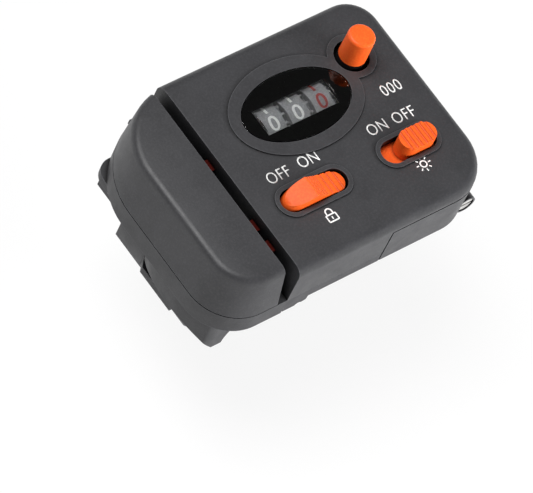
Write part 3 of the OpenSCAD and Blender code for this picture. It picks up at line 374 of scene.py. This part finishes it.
def moulded_finish(name, colour, roughness, grain_mm, depth_mm, edge_wear_and_highlight, spread=0.12, crease_shade_mm=0.0,
                   crease_shade_factor=0.12, pit_shade_mm=0.0, gloss=0.5, foot=None):
    """Spark-eroded plastic: fine grain, faint flow clouds, and lighter edges by
    edge_wear_and_highlight, partly worn and partly a painted highlight. Seams and corners narrower
    than crease_shade_mm and recesses narrower than pit_shade_mm get painted shade. foot is a level and
    the colour below it, there a painted shade."""
    recipe = Recipe(name)
    clouds = recipe.patches(recipe.noise(9.0, detail=4.0, roughness=0.55))
    body = recipe.mix(clouds, shade(colour, 1 - spread), shade(colour, 1 + spread))
    grain = recipe.noise(grain_mm * 1.3, detail=2.0, roughness=0.6)
    body = recipe.mix(recipe.range(grain, 0.45, 0.72, 0.0, 0.5), body, shade(colour, 1.7))
    # Lighter edges: partly worn plastic, partly a painted highlight along the rounded edges
    body = recipe.mix(recipe.edges(reach_mm=0.30, low=0.90, high=0.985), body, shade(colour, edge_wear_and_highlight))
    recipe.set_sockets(IOR=1.5, Specular_IOR_Level=gloss)
    if crease_shade_mm:
        # Painted shade: seams, grooves and inner corners darkened where less light falls
        seam = recipe.hollows(crease_shade_mm, low=0.55, high=0.95)
        body = recipe.mix(seam, body, shade(colour, crease_shade_factor))
    if pit_shade_mm:
        # Painted shade deep in recesses such as the slot, with the shine taken down there too
        shadow = recipe.hollows(pit_shade_mm, low=0.22, high=0.62)
        body = recipe.mix(shadow, body, shade(colour, 0.08))
        recipe.link(recipe.range(shadow, 0.0, 1.0, gloss, 0.04),
                    recipe.shader.inputs["Specular IOR Level"])
    # Colour below a level, used for painted shade on the reset button's foot
    if foot:
        level, foot_shade_colour = foot
        body = recipe.mix(recipe.below(level), body, foot_shade_colour)
    recipe.paint(body)
    rub = recipe.noise(3.5, detail=5.0, roughness=0.6)
    recipe.dull(rub, roughness - 0.05, roughness + 0.06)
    recipe.bump(recipe.noise(grain_mm, detail=3.0, roughness=0.6), depth_mm, strength=0.55)
    recipe.bump(recipe.noise(6.0, detail=2.0), depth_mm=0.02, strength=0.3)
    return recipe.material


def glossy_finish(name, colour, roughness, spread=0.08):
    """Smooth painted or polished plastic with faint waviness"""
    recipe = Recipe(name)
    clouds = recipe.patches(recipe.noise(5.0))
    recipe.paint(recipe.mix(clouds, shade(colour, 1 - spread), shade(colour, 1 + spread)))
    recipe.dull(recipe.noise(2.0, detail=4.0), roughness * 0.8, roughness * 1.25)
    recipe.bump(recipe.noise(4.0, detail=2.0), depth_mm=0.006, strength=0.4)
    return recipe.material


def metal_finish(name, colour, roughness, stretch):
    """Turned or drawn metal with fine lines, handling marks and brighter edges, partly worn and partly
    a painted highlight
    """
    recipe = Recipe(name)
    lines = recipe.noise(0.12, detail=4.0, roughness=0.65, stretch=stretch)
    stains = recipe.patches(recipe.noise(1.6, detail=5.0, roughness=0.6), low=0.35)
    body = recipe.mix(stains, shade(colour, 1.05), shade(colour, 0.78))
    # Brighter edges: partly worn metal, partly a painted highlight
    body = recipe.mix(recipe.edges(reach_mm=0.1, low=0.8, high=0.98), body, shade(colour, 1.25))
    recipe.paint(body)
    recipe.set_sockets(Metallic=1.0)
    recipe.dull(lines, roughness * 0.75, roughness * 1.35)
    recipe.bump(lines, depth_mm=0.008, strength=0.35)
    return recipe.material


def rubber_finish(name, colour):
    """Matt rubber with a pebbled skin and a dusty bloom"""
    recipe = Recipe(name)
    bloom = recipe.patches(recipe.noise(4.0, detail=5.0, roughness=0.6), low=0.4, high=0.75)
    recipe.paint(recipe.mix(bloom, shade(colour, 0.85), shade(colour, 1.7)))
    recipe.dull(recipe.noise(1.2), 0.74, 0.92)
    recipe.bump(recipe.pits(0.5), depth_mm=0.05, strength=0.5)
    recipe.bump(recipe.noise(0.15), depth_mm=0.015, strength=0.5)
    return recipe.material


def clear_finish(name, colour, roughness, ior):
    """Clear moulded window with a faint haze"""
    recipe = Recipe(name)
    clouds = recipe.patches(recipe.noise(6.0, detail=2.0))
    recipe.paint(recipe.mix(clouds, shade(colour, 0.985), colour))
    recipe.dull(recipe.noise(2.5, detail=4.0), roughness * 0.6, roughness * 1.5, low=0.35)
    recipe.set_sockets(Transmission_Weight=1.0, IOR=ior)
    return recipe.material


def board_finish(name, colour):
    """Solder mask with copper tracks showing through"""
    recipe = Recipe(name)
    layout = recipe.noise(1.8, detail=1.0, roughness=0.2, stretch=(1.0, 3.0, 1.0))
    tracks = recipe.patches(layout, low=0.47, high=0.53)
    recipe.paint(recipe.mix(tracks, shade(colour, 0.75), shade(colour, 1.5)))
    recipe.dull(recipe.noise(0.8), 0.28, 0.42)
    recipe.bump(tracks, depth_mm=0.03, strength=0.6)
    return recipe.material


def ink_finish(name, colour):
    """Pad-printed ink, a little uneven over the grain"""
    recipe = Recipe(name)
    thin = recipe.patches(recipe.noise(0.35, detail=4.0, roughness=0.6), low=0.35, high=0.6)
    recipe.paint(recipe.mix(thin, shade(colour, 0.86), colour))
    recipe.dull(recipe.noise(0.6), 0.42, 0.6)
    recipe.bump(recipe.noise(0.25), depth_mm=0.006, strength=0.4)
    return recipe.material


# Modelling helpers

def alone(piece):
    """Select one object only and make it the active one"""
    bpy.ops.object.select_all(action="DESELECT")
    piece.select_set(True)
    bpy.context.view_layer.objects.active = piece


def edit(piece):
    alone(piece)
    bpy.ops.object.mode_set(mode="EDIT")
    bpy.ops.mesh.select_mode(type="VERT")
    bpy.ops.mesh.select_all(action="SELECT")


def leave_edit():
    bpy.ops.object.mode_set(mode="OBJECT")


def added(operator, name, location=(0, 0, 0), **values):
    """New object from one of the add operators, with nothing else selected"""
    bpy.ops.object.select_all(action="DESELECT")
    operator(location=location, **values)
    piece = bpy.context.object
    piece.name = name
    return piece


def joined(name, parts):
    """One object made of several"""
    alone(parts[0])
    for part in parts:
        part.select_set(True)
    bpy.ops.object.join()
    piece = bpy.context.object
    piece.name = name
    return piece


def settle(piece):
    """Put the object at the origin with its place in its mesh"""
    alone(piece)
    bpy.ops.object.transform_apply(location=True, rotation=True, scale=True)


def apply_modifier(piece, name, kind, **values):
    alone(piece)
    modifier = piece.modifiers.new(name, kind)
    for key, value in values.items():
        setattr(modifier, key, value)
    bpy.ops.object.modifier_apply(modifier=modifier.name)


def smooth(piece, angle):
    alone(piece)
    bpy.ops.object.shade_smooth_by_angle(angle=math.radians(angle))


def coat(piece, finish):
    piece.data.materials.clear()
    piece.data.materials.append(FINISHES[finish])


def node_slot(node):
    for part in frame["record"]["subparts"]:
        if part["node"] == node:
            return part["material_slot"]
    raise RuntimeError("no material slot for " + node)


def node_body(node):
    for body, nodes in frame["record"]["behaviour"]["bodies"].items():
        if node in nodes:
            return body
    raise RuntimeError("no body for " + node)


def round_corners(piece, chosen, radius):
    """Round the edges whose two ends are both chosen"""
    edit(piece)
    bpy.ops.mesh.select_mode(type="EDGE")
    bpy.ops.mesh.select_all(action="DESELECT")
    leave_edit()
    points = piece.data.vertices
    for edge in piece.data.edges:
        edge.select = all(chosen(points[end].co) for end in edge.vertices)
    bpy.ops.object.mode_set(mode="EDIT")
    bpy.ops.mesh.bevel(offset=radius, segments=8, affect="EDGES")
    leave_edit()


def finished_copy(node, edge, angle=SHARP_ANGLE, segments=2, shape=None, finish=None, corners=()):
    """Copy of a solid with merged faces and rounded edges, in place of that solid. shape moves its
    points, and corners holds larger roundings: a test of the points and a radius for each."""
    piece = bpy.data.objects.new(node + "_finished", frame["nodes"][node].data.copy())
    bpy.context.collection.objects.link(piece)
    edit(piece)
    bpy.ops.mesh.remove_doubles(threshold=MERGE)
    bpy.ops.mesh.dissolve_limited(angle_limit=math.radians(FLAT_ANGLE))
    if piece.data.has_custom_normals:
        bpy.ops.mesh.customdata_custom_splitnormals_clear()
    leave_edit()
    if shape:
        for vertex in piece.data.vertices:
            vertex.co = shape(vertex.co)
    for chosen, radius in corners:
        round_corners(piece, chosen, radius)
    smooth(piece, angle)
    apply_modifier(piece, "Rounded edges", "BEVEL", width=edge, segments=segments,
                   limit_method="ANGLE", angle_limit=math.radians(angle), miter_outer="MITER_ARC",
                   use_clamp_overlap=True, harden_normals=True)
    edit(piece)
    bpy.ops.mesh.dissolve_degenerate(threshold=MERGE)
    leave_edit()
    coat(piece, finish or node_slot(node))
    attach(piece, node_body(node))
    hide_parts(node)
    return piece


def coil(turns, steps):
    """Angle and share of the way at each point of a coil with steps points a turn"""
    count = turns * steps
    return [(2 * math.pi * step / steps, step / count) for step in range(count + 1)]


def wire(name, points, thickness, finish):
    """Round wire through points, as a closed mesh"""
    curve = bpy.data.curves.new(name, "CURVE")
    curve.dimensions = "3D"
    curve.bevel_depth = thickness / 2
    curve.bevel_resolution = 3
    curve.use_fill_caps = True
    spline = curve.splines.new("POLY")
    spline.points.add(len(points) - 1)
    for point, place in zip(spline.points, points):
        point.co = (*place, 1.0)
    piece = bpy.data.objects.new(name, curve)
    bpy.context.collection.objects.link(piece)
    alone(piece)
    bpy.ops.object.convert(target="MESH")
    piece = bpy.context.object
    edit(piece)
    bpy.ops.mesh.remove_doubles(threshold=FINE_MERGE)
    bpy.ops.mesh.normals_make_consistent(inside=False)
    leave_edit()
    settle(piece)
    smooth(piece, WIRE_ANGLE)
    coat(piece, finish)
    return piece


def lettering(name, words, height, spread=1.0, width=LETTER_WIDTH, weight=LETTER_WEIGHT):
    """Flat print of some characters, centred on the origin and facing up, as a mesh"""
    piece = added(bpy.ops.object.text_add, name)
    piece.data.body = words
    piece.data.align_x = "CENTER"
    piece.data.align_y = "CENTER"
    piece.data.resolution_u = 8
    piece.data.space_character = spread
    piece.data.size = 1.0
    piece.data.offset = weight
    bpy.ops.object.convert(target="MESH")
    piece = bpy.context.object
    reach = [vertex.co.copy() for vertex in piece.data.vertices]
    low = Vector([min(point[axis] for point in reach) for axis in range(3)])
    high = Vector([max(point[axis] for point in reach) for axis in range(3)])
    scale = height / (high.y - low.y)
    middle = (low + high) / 2
    edit(piece)
    bpy.ops.transform.translate(value=-middle)
    bpy.ops.transform.resize(value=(scale * width, scale, scale), center_override=(0, 0, 0))
    bpy.ops.mesh.remove_doubles(threshold=FINE_MERGE)
    leave_edit()
    return piece


def raise_print(piece):
    """Give a flat mark its thickness, half of it below the surface it lies on"""
    apply_modifier(piece, "Ink", "SOLIDIFY", thickness=sizes().print_height, offset=0.0,
                   use_even_offset=True)
    edit(piece)
    bpy.ops.mesh.normals_make_consistent(inside=False)
    leave_edit()


def set_down(piece, x_mm, y_mm):
    """Raise a mark and move it to its place on the top face"""
    raise_print(piece)
    piece.location = (x_mm * MM, y_mm * MM, TOP_LEVEL)
    settle(piece)
    coat(piece, "white_ink")
    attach(piece, "housing")


# Operators, in the order in which they dress the counter

class LINECOUNTER_OT_finishes(bpy.types.Operator):
    """Mix the materials and give them to the solids"""

    bl_idname = "line_counter.finishes"
    bl_label = "Mix Finishes"

    def plastics(self, tones):
        """Moulded plastics, with the same grain on both halves of the housing and on the controls"""
        # Housing: lighter edges partly a painted highlight, painted shade in creases and in deep
        # recesses such as the slot
        housing = dict(grain_mm=0.40, depth_mm=0.045, edge_wear_and_highlight=3.0, crease_shade_mm=1.0, pit_shade_mm=5.0)
        control = dict(grain_mm=0.35, depth_mm=0.012, edge_wear_and_highlight=1.2, spread=0.04)
        # Near-black painted shade on the button's foot, for the shaded hole round it
        hole_shade = (HOLE_SHADE_LEVEL, shade(tones.housing_dark, 0.3))
        return dict(
            housing=moulded_finish("housing_plastic", tones.housing, 0.46, **housing),
            housing_dark=moulded_finish("lower_plastic", tones.housing_dark, 0.50, **housing),
            # Controls: painted shade in the grooves of the ribs
            orange=moulded_finish("orange_plastic", tones.orange, 0.42, **control,
                                  crease_shade_mm=0.8, crease_shade_factor=0.45, gloss=0.22),
            orange_cap=moulded_finish("cap_plastic", tones.orange, 0.42, **control,
                                      gloss=0.3, foot=hole_shade),
            # Keeper: orange darkened with painted shade, and painted shade of the slot over it
            orange_deep=moulded_finish("keeper_plastic_in_shade", tones.orange_deep, 0.60, **control,
                                       pit_shade_mm=5.0, gloss=0.1),
            inner_plastic=moulded_finish("natural_plastic", tones.inner_plastic, 0.40, grain_mm=0.5,
                                         depth_mm=0.010, edge_wear_and_highlight=1.1, spread=0.05),
            digit_wheel=moulded_finish("wheel_plastic", tones.digit_wheel, 0.45, grain_mm=0.3,
                                       depth_mm=0.010, edge_wear_and_highlight=1.2, spread=0.06),
        )

    def execute(self, context):
        tones = colours()
        FINISHES.update(
            self.plastics(tones),
            mask=glossy_finish("mask_black", tones.mask, roughness=0.62),
            lamp_lens=glossy_finish("lamp_resin", tones.lamp_lens, roughness=0.18),
            lens=clear_finish("window_clear", tones.lens, roughness=0.015, ior=1.49),
            board=board_finish("board_mask", tones.board),
            pad=rubber_finish("clamp_rubber", tones.pad),
            brass=metal_finish("brass_turned", tones.brass, roughness=0.28, stretch=(1.0, 9.0, 9.0)),
            nickel=metal_finish("nickel_plate", tones.nickel, roughness=0.34, stretch=(3.0, 1.0, 3.0)),
            steel=metal_finish("steel_drawn", tones.steel, roughness=0.26, stretch=(1.0, 8.0, 8.0)),
            white_ink=ink_finish("white_print", tones.white_ink),
            red_ink=ink_finish("red_print", tones.red_ink),
        )
        for node, solid in frame["nodes"].items():
            for slot in solid.material_slots:
                slot.material = FINISHES[node_slot(node)]
        return {"FINISHED"}


class LINECOUNTER_OT_housing(bpy.types.Operator):
    """Round and finish the covers, base, door and their screws"""

    bl_idname = "line_counter.housing"
    bl_label = "Finish Housing"

    def execute(self, context):
        edge = sizes().edge_round
        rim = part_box("side_cover")[0].z
        seam = sizes().cover_seam
        low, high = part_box("battery_door")
        gap = sizes().door_gap

        def lift(place):
            """Raises the side cover's lower rim for an open seam over the base"""
            return place + Vector((0, 0, seam)) if place.z < rim + NEAR else place

        def ease(place):
            """Draws the door in from its left and upper edges for an open gap line"""
            return Vector((high.x - (high.x - place.x) * (1 - gap / (high.x - low.x)), place.y,
                           low.z + (place.z - low.z) * (1 - gap / (high.z - low.z))))

        shapes = {"side_cover": lift, "counter_cover": None, "base_shell": None, "battery_door": ease}
        for node, shape in shapes.items():
            finished_copy(node, edge, angle=HOUSING_ANGLE, shape=shape)
        for node in ("door_screw", "housing_screws"):
            finished_copy(node, sizes().fine_edge)
        return {"FINISHED"}


class LINECOUNTER_OT_window(bpy.types.Operator):
    """Finish the clear window and the black mask under it"""

    bl_idname = "line_counter.window"
    bl_label = "Finish Window"

    def execute(self, context):
        low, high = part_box("window_mask")
        middle = (low + high) / 2

        def bar(place):
            """Draws the bar over the numbers in to the length and width that show"""
            across, along = place.x - middle.x, place.y - middle.y
            if abs(across) > BAR_HALF_LENGTH + NEAR or abs(along) > BAR_HALF_WIDTH + NEAR:
                return place
            return Vector((SHOWN_X + across * SHOWN_HALF_LENGTH / BAR_HALF_LENGTH,
                           SHOWN_Y + along * SHOWN_HALF_WIDTH / BAR_HALF_WIDTH, place.z))

        finished_copy("window_lens", 2.2 * sizes().edge_round, segments=3, shape=bar)
        finished_copy("window_mask", 0.5 * sizes().fine_edge, shape=bar)
        return {"FINISHED"}


class LINECOUNTER_OT_controls(bpy.types.Operator):
    """Finish the orange button, rocker, knob and keeper"""

    bl_idname = "line_counter.controls"
    bl_label = "Finish Controls"

    def execute(self, context):
        fine = sizes().fine_edge
        middle = (BUTTON_LOW + BUTTON_HIGH) / 2
        height = BUTTON_HIGH.z - BUTTON_LOW.z

        def taper(place):
            """Draft of the button: narrower towards its top"""
            narrow = BUTTON_FOOT - BUTTON_DRAFT * (place.z - BUTTON_LOW.z) / height
            return Vector((middle.x + (place.x - middle.x) * narrow,
                           middle.y + (place.y - middle.y) * narrow, place.z))

        finished_copy("reset_button", 2.0 * fine, shape=taper, finish="orange_cap")
        finished_copy("reset_stem", fine, finish="housing_dark")
        for node in ("line_lock_rocker", "light_knob"):
            finished_copy(node, 1.2 * fine)
        # The keeper gets its orange darkened with painted shade of the slot
        finished_copy("line_lock_keeper", 1.2 * fine, finish="orange_deep")
        return {"FINISHED"}


class LINECOUNTER_OT_number_wheels(bpy.types.Operator):
    """Finish the number wheels and print 0 to 9 round each"""

    bl_idname = "line_counter.number_wheels"
    bl_label = "Print Number Wheels"

    def digit(self, name, value):
        """One number, cut into strips and wrapped on the wheel's band"""
        height = sizes().digit_height
        piece = lettering("%s_%d" % (name, value), str(value), height,
                          width=DIGIT_WIDTH, weight=DIGIT_WEIGHT)
        edit(piece)
        for strip in range(1, DIGIT_STRIPS):
            level = height * (strip / DIGIT_STRIPS - 0.5)
            bpy.ops.mesh.select_all(action="SELECT")
            bpy.ops.mesh.bisect(plane_co=(0, level, 0), plane_no=(0, 1, 0))
        leave_edit()
        raise_print(piece)
        for vertex in piece.data.vertices:
            turn = vertex.co.y / WHEEL_RADIUS + DIGIT_STEP * value + DIGIT_LEAN
            reach = WHEEL_RADIUS + vertex.co.z
            vertex.co = (vertex.co.x, reach * math.sin(turn), reach * math.cos(turn))
        return piece

    def execute(self, context):
        for body, middle in BAND_X.items():
            finished_copy(body + "_wheel", sizes().fine_edge)
            digits = [self.digit(body + "_digit", value) for value in range(10)]
            band = joined(body + "_digits", digits)
            band.location = (middle, WHEEL_Y, WHEEL_Z)
            settle(band)
            smooth(band, PRINT_ANGLE)
            coat(band, "red_ink" if body == "units" else "white_ink")
            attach(band, body)
        return {"FINISHED"}


class LINECOUNTER_OT_springs(bpy.types.Operator):
    """Wind the button spring and the clamp spring"""

    bl_idname = "line_counter.springs"
    bl_label = "Wind Springs"

    def button_spring(self):
        thick = sizes().spring_wire
        middle = (SPRING_LOW + SPRING_HIGH) / 2
        height = SPRING_HIGH.z - SPRING_LOW.z
        radius = (SPRING_HIGH.x - SPRING_LOW.x) / 2 - thick / 2
        low = SPRING_LOW.z + thick / 2
        points = [(middle.x + radius * math.cos(turn), middle.y + radius * math.sin(turn),
                   low + (height - thick) * along)
                  for turn, along in coil(turns=4, steps=36)]
        piece = wire("button_spring", points, thick, "steel")
        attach(piece, "housing")
        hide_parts("reset_spring")
        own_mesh(piece)

    def clamp_spring(self):
        thick = sizes().clamp_wire
        low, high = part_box("clamp_spring")
        axis_x = (PIN_LOW.x + PIN_HIGH.x) / 2
        axis_z = (PIN_LOW.z + PIN_HIGH.z) / 2
        side = axis_x - CLAMP_COIL
        half = (high.y - low.y - thick) / 2
        winding = [(axis_x - CLAMP_COIL * math.cos(turn), half * (2 * along - 1),
                    axis_z + CLAMP_COIL * math.sin(turn))
                   for turn, along in coil(turns=6, steps=32)]
        points = [(side, -half, low.z), *winding, (side, half, high.z)]
        piece = wire("clamp_torsion_spring", points, thick, "steel")
        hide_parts("clamp_spring")
        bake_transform(piece)

    def execute(self, context):
        self.button_spring()
        self.clamp_spring()
        return {"FINISHED"}


class LINECOUNTER_OT_clamp(bpy.types.Operator):
    """Finish the two halves of the clamp, their rubber, pin and screws"""

    bl_idname = "line_counter.clamp"
    bl_label = "Finish Clamp"

    def execute(self, context):
        edge = sizes().edge_round
        low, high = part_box("rod_saddle")

        def far_corner(place):
            """Corner of the flange behind the far left screw"""
            return place.x < FLANGE_LEFT and place.y > high.y - END_REACH

        def near_corner(place):
            """Upright corner at the near end of the round lobe"""
            return place.x < LOBE_LEFT and place.y < low.y + END_REACH

        finished_copy("rod_saddle", 2.0 * edge, segments=3,
                      corners=((far_corner, FLANGE_ROUND), (near_corner, LOBE_ROUND)))
        finished_copy("clamp_jaw", 2.0 * edge, segments=3)
        for node in ("saddle_pad", "jaw_pad"):
            finished_copy(node, edge)
        for node in ("hinge_pin", "saddle_screws"):
            finished_copy(node, sizes().fine_edge)
        return {"FINISHED"}


class LINECOUNTER_OT_works(bpy.types.Operator):
    """Finish the measuring wheel, gears, shafts, cell and lamp"""

    bl_idname = "line_counter.works"
    bl_label = "Finish Works"

    def execute(self, context):
        for node in ("measuring_wheel", "axle_pinion", "lay_gear", "lay_pinion", "measuring_axle",
                     "axle_bushes", "lay_shaft", "carry_shaft", "counter_shaft", "coin_cell",
                     "lamp"):
            finished_copy(node, 0.5 * sizes().fine_edge)
        return {"FINISHED"}


class LINECOUNTER_OT_marks(bpy.types.Operator):
    """Print the switch words and the signs on the top face"""

    bl_idname = "line_counter.marks"
    bl_label = "Print Marks"

    def hollow_out(self, width):
        """Turn the faces of the piece in edit mode into a frame of one width"""
        bpy.ops.mesh.select_mode(type="FACE")
        bpy.ops.mesh.select_all(action="SELECT")
        bpy.ops.mesh.inset(thickness=width, depth=0)
        bpy.ops.mesh.delete(type="FACE")

    def ring(self, name, outer, width):
        """Flat ring made from a disc by insetting and opening its middle"""
        piece = added(bpy.ops.mesh.primitive_circle_add, name, vertices=48, radius=outer,
                      fill_type="NGON")
        edit(piece)
        self.hollow_out(width)
        leave_edit()
        return piece

    def strip(self, name, x0, y0, x1, y1):
        """Flat rectangle between two corners"""
        piece = added(bpy.ops.mesh.primitive_plane_add, name, size=1)
        piece.scale = (x1 - x0, y1 - y0, 1)
        piece.location = ((x0 + x1) / 2, (y0 + y1) / 2, 0)
        settle(piece)
        return piece

    def sign(self, name, parts, place):
        """One mark from flat parts that touch"""
        piece = joined(name, parts)
        edit(piece)
        bpy.ops.mesh.remove_doubles(threshold=MERGE)
        leave_edit()
        set_down(piece, *place)

    def padlock(self):
        """Closed padlock: round-cornered case with a keyhole and a bow on two legs"""
        line = 0.34 * MM
        side, bottom, top = 1.45 * MM, -1.7 * MM, 0.35 * MM
        corner = 0.32 * MM
        bow_radius, bow_level = 0.98 * MM, 0.85 * MM
        hole_side, hole_low, hole_high = 0.16 * MM, -1.05 * MM, -0.35 * MM
        case = self.strip("padlock_case", -side, bottom, side, top)
        edit(case)
        bpy.ops.mesh.bevel(offset=corner, segments=4, affect="VERTICES")
        self.hollow_out(line)
        leave_edit()
        bow = self.ring("padlock_bow", bow_radius, line)
        edit(bow)
        bpy.ops.mesh.bisect(plane_co=(0, 0, 0), plane_no=(0, 1, 0), clear_inner=True)
        bpy.ops.mesh.select_all(action="SELECT")
        bpy.ops.transform.translate(value=(0, bow_level, 0))
        leave_edit()
        left, right = -bow_radius, bow_radius - line
        legs = [self.strip("padlock_leg", start, top, start + line, bow_level)
                for start in (left, right)]
        hole = self.strip("padlock_hole", -hole_side, hole_low, hole_side, hole_high)
        self.sign("lock_sign", [case, bow, *legs, hole], LOCK_SIGN)

    def lamp(self):
        """Round lamp with eight rays"""
        rays = 8
        ray_start, ray_end, ray_half = 1.3 * MM, 1.95 * MM, 0.15 * MM
        parts = [self.ring("lamp_ring", 0.95 * MM, 0.32 * MM)]
        for ray in range(rays):
            beam = self.strip("lamp_ray", ray_start, -ray_half, ray_end, ray_half)
            beam.rotation_euler = (0, 0, 2 * math.pi * ray / rays)
            settle(beam)
            parts.append(beam)
        self.sign("lamp_sign", parts, LAMP_SIGN)

    def execute(self, context):
        for name, (words, x, y, spread) in WORDS.items():
            set_down(lettering(name, words, sizes().letter_height, spread), x, y)
        self.padlock()
        self.lamp()
        return {"FINISHED"}


class LINECOUNTER_OT_stage(bpy.types.Operator):
    """Lay the floor, hang the lamps and set up the camera"""

    bl_idname = "line_counter.stage"
    bl_label = "Set Stage"

    def floor_material(self):
        """Matt and pale, and seen as nearly white by the camera, in mirrors and through the window"""
        material = bpy.data.materials.new("studio_floor")
        material.use_nodes = True
        tree = material.node_tree
        tree.nodes.clear()
        add = tree.nodes.new
        link = tree.links.new
        output = add("ShaderNodeOutputMaterial")
        matt = add("ShaderNodeBsdfDiffuse")
        matt.inputs["Color"].default_value = (*colours().floor, 1.0)
        glow = add("ShaderNodeEmission")
        glow.inputs["Color"].default_value = (1, 1, 1, 1)
        glow.inputs["Strength"].default_value = 1.0
        rays = add("ShaderNodeLightPath")
        seen = rays.outputs["Is Camera Ray"]
        for kind in ("Is Glossy Ray", "Is Transmission Ray"):
            either = add("ShaderNodeMath")
            either.operation = "MAXIMUM"
            link(seen, either.inputs[0])
            link(rays.outputs[kind], either.inputs[1])
            seen = either.outputs[0]
        share = add("ShaderNodeMath")
        share.operation = "MULTIPLY"
        share.inputs[1].default_value = FLOOR_WHITE
        link(seen, share.inputs[0])
        blend = add("ShaderNodeMixShader")
        link(share.outputs[0], blend.inputs["Fac"])
        link(matt.outputs["BSDF"], blend.inputs[1])
        link(glow.outputs["Emission"], blend.inputs[2])
        link(blend.outputs["Shader"], output.inputs["Surface"])
        return material

    def floor(self):
        """Floor with a low round wall near its edge"""
        level = SOLID_BOX[0][2] - JAW_ROOM
        width = sizes().floor_size
        floor = added(bpy.ops.mesh.primitive_plane_add, "studio_floor", (0, 0, level), size=width)
        wall = added(bpy.ops.mesh.primitive_cylinder_add, "studio_wall",
                     (0, 0, level + WALL_HEIGHT / 2), vertices=96, radius=WALL_REACH * width,
                     depth=WALL_HEIGHT, end_fill_type="NOTHING")
        material = self.floor_material()
        for surface in (floor, wall):
            settle(surface)
            surface.data.materials.append(material)

    def world(self, scene):
        world = bpy.data.worlds.new("studio_world")
        world.use_nodes = True
        backdrop = world.node_tree.nodes["Background"]
        backdrop.inputs["Color"].default_value = (1.0, 1.0, 1.0, 1.0)
        backdrop.inputs["Strength"].default_value = WORLD_LIGHT
        scene.world = world

    def lamp(self, name, place, width, power, mirrored=True):
        """Square soft lamp. One that isn't mirrored lights the counter but shows in no shine."""
        lamp = added(bpy.ops.object.light_add, name, place, type="AREA")
        lamp.data.shape = "SQUARE"
        lamp.data.size = width
        lamp.data.energy = power
        towards = Vector(LAMP_AIM) - Vector(place)
        lamp.rotation_euler = towards.to_track_quat("-Z", "Y").to_euler()
        lamp.visible_glossy = mirrored
        lamp.visible_transmission = mirrored

    def camera(self, scene):
        back = Vector(CAMERA_BACK).normalized()
        up = back.cross(Vector(CAMERA_RIGHT)).normalized()
        right = up.cross(back).normalized()
        camera = added(bpy.ops.object.camera_add, "photo_camera")
        turn = Matrix((right, up, back)).transposed().to_4x4()
        camera.matrix_world = Matrix.Translation(CAMERA_TARGET + back * CAMERA_DISTANCE) @ turn
        camera.data.sensor_fit = "HORIZONTAL"
        camera.data.sensor_width = SENSOR_WIDTH
        camera.data.lens = SENSOR_WIDTH * CAMERA_DISTANCE / PICTURE_WIDTH
        scene.camera = camera

    def execute(self, context):
        self.floor()
        self.world(context.scene)
        self.lamp("left_softbox", (-0.20, 0.28, 0.84), width=0.55, power=8.0)
        self.lamp("front_fill", (0.42, -0.72, 0.16), width=0.60, power=13.0, mirrored=False)
        self.camera(context.scene)
        context.scene.view_settings.view_transform = "Standard"
        return {"FINISHED"}


STEPS = (
    LINECOUNTER_OT_finishes,
    LINECOUNTER_OT_housing,
    LINECOUNTER_OT_window,
    LINECOUNTER_OT_controls,
    LINECOUNTER_OT_number_wheels,
    LINECOUNTER_OT_springs,
    LINECOUNTER_OT_clamp,
    LINECOUNTER_OT_works,
    LINECOUNTER_OT_marks,
    LINECOUNTER_OT_stage,
)


class LINECOUNTER_PT_steps(bpy.types.Panel):
    """The steps that dress the counter, with their sizes and colours"""

    bl_idname = "LINECOUNTER_PT_steps"
    bl_label = "Line Counter"
    bl_space_type = "VIEW_3D"
    bl_region_type = "UI"
    bl_category = "Line Counter"

    def draw(self, context):
        layout = self.layout
        for step in STEPS:
            layout.operator(step.bl_idname)
        for group in (context.scene.counter_sizes, context.scene.counter_colours):
            box = layout.box()
            for name in group.__annotations__:
                box.prop(group, name)


CLASSES = (CounterSizes, CounterColours, *STEPS, LINECOUNTER_PT_steps)


def register():
    for cls in CLASSES:
        bpy.utils.register_class(cls)
    bpy.types.Scene.counter_sizes = PointerProperty(type=CounterSizes)
    bpy.types.Scene.counter_colours = PointerProperty(type=CounterColours)


def unregister():
    del bpy.types.Scene.counter_colours
    del bpy.types.Scene.counter_sizes
    for cls in reversed(CLASSES):
        bpy.utils.unregister_class(cls)


def main():
    register()
    bpy.ops.line_counter.finishes()
    bpy.ops.line_counter.housing()
    bpy.ops.line_counter.window()
    bpy.ops.line_counter.controls()
    bpy.ops.line_counter.number_wheels()
    bpy.ops.line_counter.springs()
    bpy.ops.line_counter.clamp()
    bpy.ops.line_counter.works()
    bpy.ops.line_counter.marks()
    bpy.ops.line_counter.stage()


if __name__ == "__main__":
    main()
